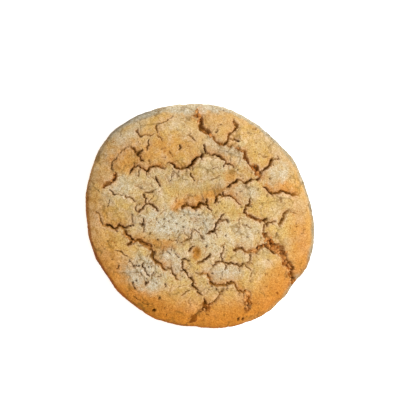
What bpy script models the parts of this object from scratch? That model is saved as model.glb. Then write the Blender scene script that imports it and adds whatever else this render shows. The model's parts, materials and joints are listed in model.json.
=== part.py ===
"""A sugar cookie with a cracked, domed top: one baked piece, modelled as one closed solid.

Run with blender --background --python part.py, or from Blender's text editor. Lengths below are in millimetres
and are turned into metres where the mesh is made. +Z is up, and the cookie lies on its flat underside, centred
on the origin. +Y is called north and +X east.
"""

import math
import random
from collections import namedtuple

import bmesh
import bpy
import numpy as np
from mathutils import Vector, noise
from mathutils.geometry import delaunay_2d_cdt

MM = 0.001

# The plan of the cookie: a mean radius, and waves round the rim as (waves, swing, bearing of a crest in degrees).
MEAN_RADIUS = 40.6
RIM_WAVES = (
    (1, 0.45, 195.0),
    (2, 1.80, 149.0),
    (3, 0.22, 110.0),
    (4, 0.32, 56.0),
    (5, 0.19, 0.0),
    (7, 0.25, 34.0),
    (8, 0.12, 26.0),
)
# Where the south-east gully breaks out of the rim: bearing and half-width in degrees, and depth.
RIM_NOTCH = (324.5, 4.5, 0.7)

# The section from crown to tray.
CROWN_HEIGHT = 12.8
RIM_HEIGHT = 4.0
DOME_POWER = 3.0
DOME_RINGS = (0.992, 0.972, 0.94, 0.90)
WALL_RINGS = ((0.35, 2.5), (1.0, 1.1), (2.0, 0.25), (2.7, 0.0))
RIM_SIDES = 132
RELIEF_FADE = 0.14

# Broad swells of the crust: centre east and north, half-length, half-width, turn in degrees, height.
SWELLS = (
    (-13.0, 25.0, 13.0, 6.0, 8.0, 0.55),
    (-5.0, 12.0, 17.0, 4.5, 6.0, 0.50),
    (17.0, 25.0, 7.0, 6.0, -40.0, 0.45),
    (27.0, 14.0, 6.0, 4.0, -10.0, 0.40),
    (-31.0, -1.0, 6.0, 5.0, 0.0, 0.45),
    (9.0, -31.0, 12.0, 5.0, 8.0, 0.50),
    (25.0, -22.0, 6.0, 8.0, -30.0, 0.45),
    (-20.0, -24.0, 10.0, 6.0, -35.0, 0.40),
    (-12.0, -14.0, 9.0, 3.0, -30.0, -0.45),
    (33.0, -9.0, 4.0, 9.0, 10.0, 0.40),
)
# Two sizes of unevenness laid over them: size across and height.
GRAINS = ((7.0, 0.5), (3.4, 0.22))

# A crack: its gap and depth, how far the bank on its right stands above the one on its left, and its route.
# Routes that run east have their raised bank to the south.
Crack = namedtuple("Crack", "name gap depth lift route")
CRACKS = (
    Crack("north_shelf_west", 1.0, 1.7, 0.7,
          ((-27.4, 13.6), (-27.0, 15.2), (-25.3, 16.4), (-23.4, 16.1), (-21.5, 14.8), (-19.9, 16.3), (-15.6, 15.3))),
    Crack("north_shelf_east", 1.1, 1.9, 0.8,
          ((-14.5, 17.0), (-13.3, 17.6), (-10.4, 15.8), (-6.6, 16.3), (-4.7, 18.9), (-1.9, 20.1), (-1.7, 23.8))),
    Crack("crown_fork", 0.8, 1.3, 0.3, ((-1.3, 21.3), (2.3, 20.8), (4.1, 20.4), (6.3, 19.0), (10.1, 16.0))),
    Crack("north_gully", 1.7, 1.6, 0.3,
          ((-3.5, 36.6), (-2.8, 34.3), (-1.2, 32.2), (-1.9, 30.4), (0.3, 28.6), (2.2, 27.0), (3.3, 25.3), (7.8, 23.0))),
    Crack("north_east_hook", 1.2, 1.2, 0.2,
          ((6.6, 25.0), (8.1, 26.6), (8.3, 28.4), (11.2, 30.3), (11.5, 31.8), (10.2, 33.7))),
    Crack("east_diagonal", 1.5, 1.7, 0.4,
          ((11.6, 22.9), (12.8, 21.6), (15.2, 18.5), (18.2, 15.6), (18.7, 14.0), (17.3, 12.0))),
    Crack("east_spur", 1.1, 1.4, 0.5, ((18.4, 15.0), (20.6, 15.8), (22.6, 17.6), (24.2, 19.9))),
    Crack("middle_shelf", 0.9, 1.4, 0.6,
          ((6.3, 8.9), (9.2, 10.9), (10.8, 12.2), (12.4, 11.5), (13.7, 10.9), (14.6, 11.8), (17.5, 12.2))),
    Crack("middle_notch", 1.0, 1.6, 0.6,
          ((2.7, 3.9), (3.2, 6.3), (6.4, 6.2), (8.0, 6.8), (9.1, 6.2), (10.2, 4.7), (12.3, 2.4))),
    Crack("centre_lip", 0.9, 1.6, 0.8, ((-8.4, 3.7), (-7.6, 2.2), (-6.2, 3.3), (-3.6, 2.0), (-2.3, 3.5), (-0.2, 3.2))),
    Crack("centre_slit", 0.9, 1.6, 0.2, ((-0.2, 6.0), (-0.5, 4.5), (0.6, 2.5), (1.6, 0.7))),
    Crack("south_hook", 0.9, 1.4, -0.4, ((-1.0, -6.6), (0.2, -6.3), (2.1, -5.9), (3.2, -3.0), (4.3, -1.2), (5.4, 0.8))),
    Crack("west_knee", 0.8, 1.3, 0.4, ((-22.4, 7.6), (-21.6, 5.4), (-21.5, 3.6), (-19.3, 2.7), (-17.7, 0.5))),
    Crack("west_knee_spur", 0.8, 1.2, 0.4, ((-25.0, 0.5), (-22.9, 1.8), (-21.4, 3.7))),
    Crack("west_shelf", 1.2, 1.7, 0.6,
          ((-38.0, 0.2), (-36.8, -1.5), (-36.4, -3.6), (-31.8, -4.8), (-30.2, -4.2), (-28.7, -5.4), (-26.2, -9.3))),
    Crack("west_shelf_spur", 0.7, 1.0, 0.3, ((-28.7, -5.2), (-27.0, -3.7), (-26.0, -3.5), (-26.0, -1.0), (-25.0, 0.4))),
    Crack("south_west_gully", 1.6, 1.6, 0.3,
          ((-26.6, -9.0), (-21.7, -9.9), (-20.2, -11.0), (-19.5, -13.6), (-15.3, -18.8), (-13.0, -19.3), (-9.7, -23.2))),
    Crack("south_seam", 1.0, 1.4, 0.2,
          ((-9.8, -15.0), (-8.6, -17.6), (-8.3, -19.3), (-6.2, -21.9), (-5.2, -23.8), (-2.6, -27.6), (-1.2, -28.7))),
    Crack("south_shelf", 0.7, 1.1, 0.3,
          ((1.6, -18.4), (3.9, -16.2), (5.6, -16.2), (8.2, -16.8), (12.1, -17.9), (14.0, -16.9), (15.3, -15.8))),
    Crack("south_east_shelf", 1.0, 1.5, 0.6,
          ((0.2, -20.6), (0.7, -22.1), (2.0, -24.0), (3.6, -24.7), (6.7, -24.7), (8.6, -23.7), (12.3, -26.6), (14.1, -27.2))),
    Crack("south_east_pit", 1.8, 1.3, 0.1, ((13.6, -26.8), (14.4, -29.0), (14.9, -32.0), (15.8, -34.2))),
    Crack("south_star", 1.2, 1.3, 0.2,
          ((-4.0, -34.4), (-1.0, -32.6), (0.3, -31.5), (3.6, -29.4), (4.7, -27.8), (6.0, -26.5))),
    Crack("east_shelf", 1.0, 1.6, 0.7, ((20.4, 10.3), (21.9, 8.7), (24.3, 7.6), (26.9, 8.1), (29.5, 8.3), (34.5, 6.8))),
    Crack("east_step", 1.2, 1.7, 0.4,
          ((15.5, 5.8), (15.0, 3.6), (13.6, 2.9), (13.4, 0.5), (17.2, -1.5), (20.0, -2.4), (21.5, -1.0))),
    Crack("east_curl", 0.9, 1.3, 0.4,
          ((21.7, -4.4), (22.3, -3.0), (24.8, -2.6), (26.2, -3.3), (27.8, -1.2), (28.3, 0.7), (29.7, 2.0))),
    Crack("south_east_gully", 2.6, 1.8, 0.2,
          ((19.8, -4.2), (20.4, -6.2), (21.2, -8.6), (23.0, -11.0), (28.3, -15.1), (29.9, -17.3), (31.4, -22.2))),
    Crack("south_east_spur", 1.2, 1.5, 0.4,
          ((9.2, -11.9), (11.7, -11.7), (12.9, -12.7), (15.9, -13.3), (19.0, -12.0), (21.8, -10.6))),
    Crack("north_west_star", 1.1, 1.2, 0.2, ((-26.8, 23.2), (-25.2, 22.3), (-24.4, 20.6), (-23.4, 19.6), (-21.8, 18.1))),
    Crack("north_west_ray", 0.9, 1.1, 0.1, ((-24.3, 20.8), (-23.4, 21.9), (-21.4, 22.2), (-20.5, 23.8), (-20.1, 25.6))),
    Crack("north_fold", 0.7, 0.9, 0.3, ((-24.8, 29.2), (-24.4, 27.7), (-23.1, 26.4), (-21.0, 27.1), (-18.6, 27.0))),
    Crack("north_slit", 0.8, 1.0, 0.2, ((-17.0, 31.6), (-17.8, 30.2), (-17.6, 28.6), (-17.2, 27.0), (-16.2, 25.3))),
    Crack("crown_slit", 0.7, 1.0, 0.2, ((-6.2, 14.6), (-5.2, 12.6), (-4.6, 11.2))),
    Crack("west_hair", 0.8, 1.0, 0.3, ((-29.2, 6.8), (-27.5, 6.0), (-26.7, 5.0), (-25.4, 4.2), (-25.0, 1.4))),
    Crack("west_nick", 0.7, 0.9, 0.2, ((-34.0, 8.6), (-33.2, 7.2), (-31.9, 6.3), (-30.0, 6.6))),
    Crack("centre_arc", 0.7, 0.9, 0.2, ((-13.8, -8.6), (-12.1, -9.0), (-9.9, -9.6), (-8.2, -9.2), (-6.4, -8.4))),
    Crack("south_west_slit", 0.8, 1.0, 0.2, ((-22.3, -16.2), (-22.6, -18.3), (-21.5, -20.2), (-19.6, -21.5))),
    Crack("south_tail", 0.8, 1.1, 0.2, ((13.2, -17.3), (14.6, -18.6), (16.0, -20.2))),
    Crack("south_slit", 0.7, 1.0, 0.2, ((5.6, -10.8), (5.5, -12.6), (5.0, -15.0))),
    Crack("west_rim_gully", 1.4, 1.2, 0.2,
          ((-36.5, 8.8), (-35.0, 10.0), (-33.0, 11.0), (-32.2, 12.8), (-32.6, 14.4), (-31.2, 16.2))),
)
CRACK_STEP = 1.25
CRACK_JITTER = 0.22
CRACK_TAPER = 0.16
BANK_REACH = 2.6

# The spacing of the free points between cracks, how close they may come to one, and what counts as one point.
CRUST_STEP = 1.5
CLEAR_OF_CRACK = 0.75
MERGE = 0.16
SEED = 7

CRUST_COLOUR = (0.52, 0.31, 0.12, 1.0)
CRUST_ROUGHNESS = 0.82


def clear_scene():
    for obj in list(bpy.data.objects):
        bpy.data.objects.remove(obj, do_unlink=True)


def rim_radius(bearing):
    """Radius of the widest line at bearings in radians."""
    radius = np.full(np.shape(bearing), MEAN_RADIUS)
    for waves, swing, crest in RIM_WAVES:
        radius = radius + swing * np.cos(waves * (bearing - math.radians(crest)))
    centre, half_width, depth = (math.radians(RIM_NOTCH[0]), math.radians(RIM_NOTCH[1]), RIM_NOTCH[2])
    off = (bearing - centre + math.pi) % (2.0 * math.pi) - math.pi
    return radius - depth * np.exp(-((off / half_width) ** 2))


def crack_line(crack):
    """The route with its straight runs broken into short, uneven steps, as baked dough tears."""
    draw = random.Random(f"{SEED} {crack.name}")
    line = [crack.route[0]]
    for (x0, y0), (x1, y1) in zip(crack.route, crack.route[1:]):
        length = math.hypot(x1 - x0, y1 - y0)
        steps = max(1, round(length / CRACK_STEP))
        for step in range(1, steps + 1):
            part = step / steps
            side = draw.uniform(-CRACK_JITTER, CRACK_JITTER) if step < steps else 0.0
            line.append((
                x0 + part * (x1 - x0) - side * (y1 - y0) / length,
                y0 + part * (y1 - y0) + side * (x1 - x0) / length,
            ))
    return np.array(line)


def nearest_on(points, line):
    """For each point: its distance from the line, positive on the left, and how far along the line it lies, 0 to 1."""
    starts, runs = line[:-1], np.diff(line, axis=0)
    lengths = np.hypot(runs[:, 0], runs[:, 1])
    offsets = points[:, None, :] - starts[None, :, :]
    along = np.clip((offsets * runs).sum(2) / lengths**2, 0.0, 1.0)
    gaps = offsets - along[..., None] * runs
    distance = np.hypot(gaps[..., 0], gaps[..., 1])
    best = distance.argmin(1)
    rows = np.arange(len(points))
    side = np.sign(runs[best, 0] * offsets[rows, best, 1] - runs[best, 1] * offsets[rows, best, 0])
    travelled = np.concatenate(([0.0], np.cumsum(lengths)))
    share = (travelled[best] + along[rows, best] * lengths[best]) / travelled[-1]
    return distance[rows, best] * np.where(side < 0, -1.0, 1.0), share


def taper(share):
    """Opens a crack from nothing at its ends to its full gap a little way in."""
    return np.sin(np.clip(np.minimum(share, 1.0 - share) / CRACK_TAPER, 0.0, 1.0) * math.pi / 2)


def swell_height(points):
    height = np.zeros(len(points))
    for east, north, half_length, half_width, turn, rise in SWELLS:
        c, s = math.cos(math.radians(turn)), math.sin(math.radians(turn))
        x, y = points[:, 0] - east, points[:, 1] - north
        height += rise * np.exp(-(((c * x + s * y) / half_length) ** 2) - ((c * y - s * x) / half_width) ** 2)
    for size, rise in GRAINS:
        height += rise * np.array([noise.noise(Vector((x / size, y / size, SEED))) for x, y in points])
    return height


def top_height(points, lines):
    """Height of the crust over points in plan: the dome, its swells, the banks of the cracks and the cracks."""
    reach = np.hypot(points[:, 0], points[:, 1])
    inward = np.clip(reach / rim_radius(np.arctan2(points[:, 1], points[:, 0])), 0.0, 1.0)
    dome = RIM_HEIGHT + (CROWN_HEIGHT - RIM_HEIGHT) * np.sqrt(1.0 - inward**DOME_POWER)
    relief = swell_height(points)
    groove = np.zeros(len(points))
    for crack, line in zip(CRACKS, lines):
        distance, share = nearest_on(points, line)
        open_share = taper(share)
        relief -= 0.5 * crack.lift * np.sign(distance) * open_share * np.exp(-np.abs(distance) / BANK_REACH)
        inside = np.clip(1.0 - np.abs(distance) / np.maximum(0.5 * crack.gap * open_share, 1e-6), 0.0, 1.0)
        groove = np.maximum(groove, crack.depth * open_share * inside)
    fade = np.clip((1.0 - inward) / RELIEF_FADE, 0.0, 1.0)
    return dome + (relief - groove) * fade * (2.0 - fade)


def plan_of_crack(crack, line):
    """Points and edges of a crack in plan: its floor line, and two banks that meet it at both ends."""
    along = np.gradient(line, axis=0)
    along /= np.hypot(along[:, 0], along[:, 1])[:, None]
    left = np.stack((-along[:, 1], along[:, 0]), 1)
    travelled = np.concatenate(([0.0], np.cumsum(np.hypot(*np.diff(line, axis=0).T))))
    half = 0.5 * crack.gap * taper(travelled / travelled[-1])[:, None]
    rows = (line, (line + half * left), (line - half * left))
    points, edges = [], []
    for row in rows:
        first = len(points)
        points += [tuple(p) for p in row]
        edges += [(first + i, first + i + 1) for i in range(len(row) - 1)]
    return points, edges


def ring(share, turn=0.0):
    """Points of a ring at a share of the rim's radius."""
    bearings = (np.arange(RIM_SIDES) + turn) * 2.0 * math.pi / RIM_SIDES
    radius = share * rim_radius(bearings)
    return np.stack((radius * np.cos(bearings), radius * np.sin(bearings)), 1)


def free_points(lines):
    """A slightly uneven triangular lattice over the crust, kept clear of the cracks and of the rings near the rim."""
    draw = random.Random(SEED)
    rows = []
    row_step = CRUST_STEP * math.sqrt(3.0) / 2.0
    count = int(1.1 * MEAN_RADIUS / row_step)
    for row in range(-count, count + 1):
        for column in range(-count, count + 1):
            x = (column + 0.5 * (row % 2)) * CRUST_STEP + draw.uniform(-0.2, 0.2)
            y = row * row_step + draw.uniform(-0.2, 0.2)
            rows.append((x, y))
    points = np.array(rows)
    reach = np.hypot(points[:, 0], points[:, 1])
    inward = reach / rim_radius(np.arctan2(points[:, 1], points[:, 0]))
    points = points[inward < DOME_RINGS[-1] - 0.025]
    for crack, line in zip(CRACKS, lines):
        distance, share = nearest_on(points, line)
        points = points[np.abs(distance) > 0.5 * crack.gap * taper(share) + CLEAR_OF_CRACK]
    return points


def crust_mesh(lines):
    """The top as a bmesh: a plan triangulated round the cracks' floors and banks, then raised to its height."""
    points = [tuple(p) for p in ring(1.0)]
    edges = [(i, (i + 1) % RIM_SIDES) for i in range(RIM_SIDES)]
    for number, share in enumerate(DOME_RINGS, start=1):
        first = len(points)
        points += [tuple(p) for p in ring(share, turn=0.5 * (number % 2))]
        edges += [(first + i, first + (i + 1) % RIM_SIDES) for i in range(RIM_SIDES)]
    for crack, line in zip(CRACKS, lines):
        first = len(points)
        crack_points, crack_edges = plan_of_crack(crack, line)
        points += crack_points
        edges += [(first + a, first + b) for a, b in crack_edges]
    points += [tuple(p) for p in free_points(lines)]
    inside_constraints = 1
    plan, _, faces, *_ = delaunay_2d_cdt([Vector(p) for p in points], edges, [], inside_constraints, MERGE)
    flat = np.array([tuple(p) for p in plan])
    heights = top_height(flat, lines)
    bm = bmesh.new()
    verts = [bm.verts.new((x, y, z)) for (x, y), z in zip(flat, heights)]
    for face in faces:
        bm.faces.new([verts[i] for i in face])
    return bm


def add_wall_and_underside(bm):
    """Extrudes the rim down and in to the tray, ring by ring, and closes the flat underside."""
    for inset, height in WALL_RINGS:
        rim = [edge for edge in bm.edges if edge.is_boundary]
        made = bmesh.ops.extrude_edge_only(bm, edges=rim)
        for vert in (item for item in made["geom"] if isinstance(item, bmesh.types.BMVert)):
            bearing = math.atan2(vert.co.y, vert.co.x)
            radius = float(rim_radius(np.array(bearing))) - inset
            vert.co = (radius * math.cos(bearing), radius * math.sin(bearing), height)
    underside = bmesh.ops.contextual_create(bm, geom=[edge for edge in bm.edges if edge.is_boundary])
    bmesh.ops.poke(bm, faces=underside["faces"])
    bmesh.ops.triangulate(bm, faces=bm.faces)
    bmesh.ops.recalc_face_normals(bm, faces=bm.faces)


def centre_on_origin(bm):
    """Moves the cookie in plan until its bounding box is centred on the origin."""
    for axis in (0, 1):
        places = [vert.co[axis] for vert in bm.verts]
        middle = 0.5 * (min(places) + max(places))
        for vert in bm.verts:
            vert.co[axis] -= middle


def crust_material():
    material = bpy.data.materials.new("crust")
    material.use_nodes = True
    shader = material.node_tree.nodes["Principled BSDF"]
    shader.inputs["Base Color"].default_value = CRUST_COLOUR
    shader.inputs["Roughness"].default_value = CRUST_ROUGHNESS
    shader.inputs["Metallic"].default_value = 0.0
    return material


def build_cookie():
    lines = [crack_line(crack) for crack in CRACKS]
    bm = crust_mesh(lines)
    add_wall_and_underside(bm)
    centre_on_origin(bm)
    bmesh.ops.scale(bm, verts=bm.verts, vec=(MM, MM, MM))
    mesh = bpy.data.meshes.new("cookie")
    bm.to_mesh(mesh)
    bm.free()
    mesh.materials.append(crust_material())
    mesh.shade_smooth()
    mesh.set_sharp_from_angle(angle=math.radians(40.0))
    cookie = bpy.data.objects.new("cookie", mesh)
    bpy.context.scene.collection.objects.link(cookie)
    return cookie


clear_scene()
build_cookie()
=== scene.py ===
"""Dresses the sugar cookie: its torn crust, the crumbs in its cracks, and the stage that it is shown on.

Plan positions and sizes in the tables are in millimetres, with +X east and +Y north, and MM turns them into the
scene's metres. Bearings and turns in the tables are in degrees, from east towards north.
"""

import json
import math
import random
from collections import namedtuple

import bpy
import numpy as np
from mathutils import Matrix, Vector, noise

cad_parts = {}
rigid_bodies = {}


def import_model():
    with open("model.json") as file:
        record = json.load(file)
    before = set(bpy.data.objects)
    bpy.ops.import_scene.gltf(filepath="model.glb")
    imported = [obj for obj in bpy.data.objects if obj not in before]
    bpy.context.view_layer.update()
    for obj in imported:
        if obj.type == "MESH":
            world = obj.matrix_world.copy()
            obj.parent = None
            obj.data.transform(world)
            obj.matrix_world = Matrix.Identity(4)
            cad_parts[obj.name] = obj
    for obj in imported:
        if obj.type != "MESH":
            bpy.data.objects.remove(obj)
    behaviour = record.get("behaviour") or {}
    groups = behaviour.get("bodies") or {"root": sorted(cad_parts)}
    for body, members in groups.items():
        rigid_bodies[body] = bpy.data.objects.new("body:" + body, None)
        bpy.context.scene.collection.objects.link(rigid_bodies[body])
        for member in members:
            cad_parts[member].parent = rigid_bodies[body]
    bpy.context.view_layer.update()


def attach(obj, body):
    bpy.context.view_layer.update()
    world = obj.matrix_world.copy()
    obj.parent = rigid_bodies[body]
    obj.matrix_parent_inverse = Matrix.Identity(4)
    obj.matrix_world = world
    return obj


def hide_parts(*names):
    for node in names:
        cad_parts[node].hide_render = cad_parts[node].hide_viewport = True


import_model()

bl_info = {
    "name": "Sugar cookie",
    "version": (1, 0, 0),
    "blender": (4, 5, 0),
    "location": "View3D > Sidebar > Cookie",
    "description": "Bakes a cracked sugar cookie over its solid and sets it on a pale stage",
    "category": "Add Mesh",
}

MM = 0.001
SEED = 7

# The plan: a mean radius, waves round the rim as (waves, swing, bearing of a crest), and the notch where the
# south-east gully breaks out, as (bearing, half-width, depth).
MEAN_RADIUS = 40.6
RIM_WAVES = (
    (1, 0.43, 249), (2, 1.8, 149), (3, 0.22, 110), (4, 0.32, 56), (5, 0.19, 0), (7, 0.25, 34), (8, 0.12, 26),
    (13, 0.1, 2),
)
RIM_NOTCH = (324.5, 4.5, 0.7)
RIM_HEIGHT = 4.0
DOME_POWER = 3.0
WALL_TUCK = 2.7
# The section goes by even steps of radius to this share of it, and by even steps of height from there on.
STEEP_FROM = 0.9
# Where the plan's middle stands in the frame, east and north.
PLAN_MIDDLE = (-0.28, 0.28)
# The height over the tray in which the wall's relief fades out.
FOOT = 0.6

# Broad swells of the crust: centre east and north, half-length, half-width, turn, height.
SWELLS = (
    (-13, 25, 13, 6, 8, 0.55), (-5, 12, 17, 4.5, 6, 0.5), (17, 25, 7, 6, -40, 0.45), (27, 14, 6, 4, -10, 0.4),
    (-31, -1, 6, 5, 0, 0.45), (9, -31, 12, 5, 8, 0.5), (25, -22, 6, 8, -30, 0.45), (-20, -24, 10, 6, -35, 0.4),
    (-12, -14, 9, 3, -30, -0.45), (33, -9, 4, 9, 10, 0.4),
)

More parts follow.
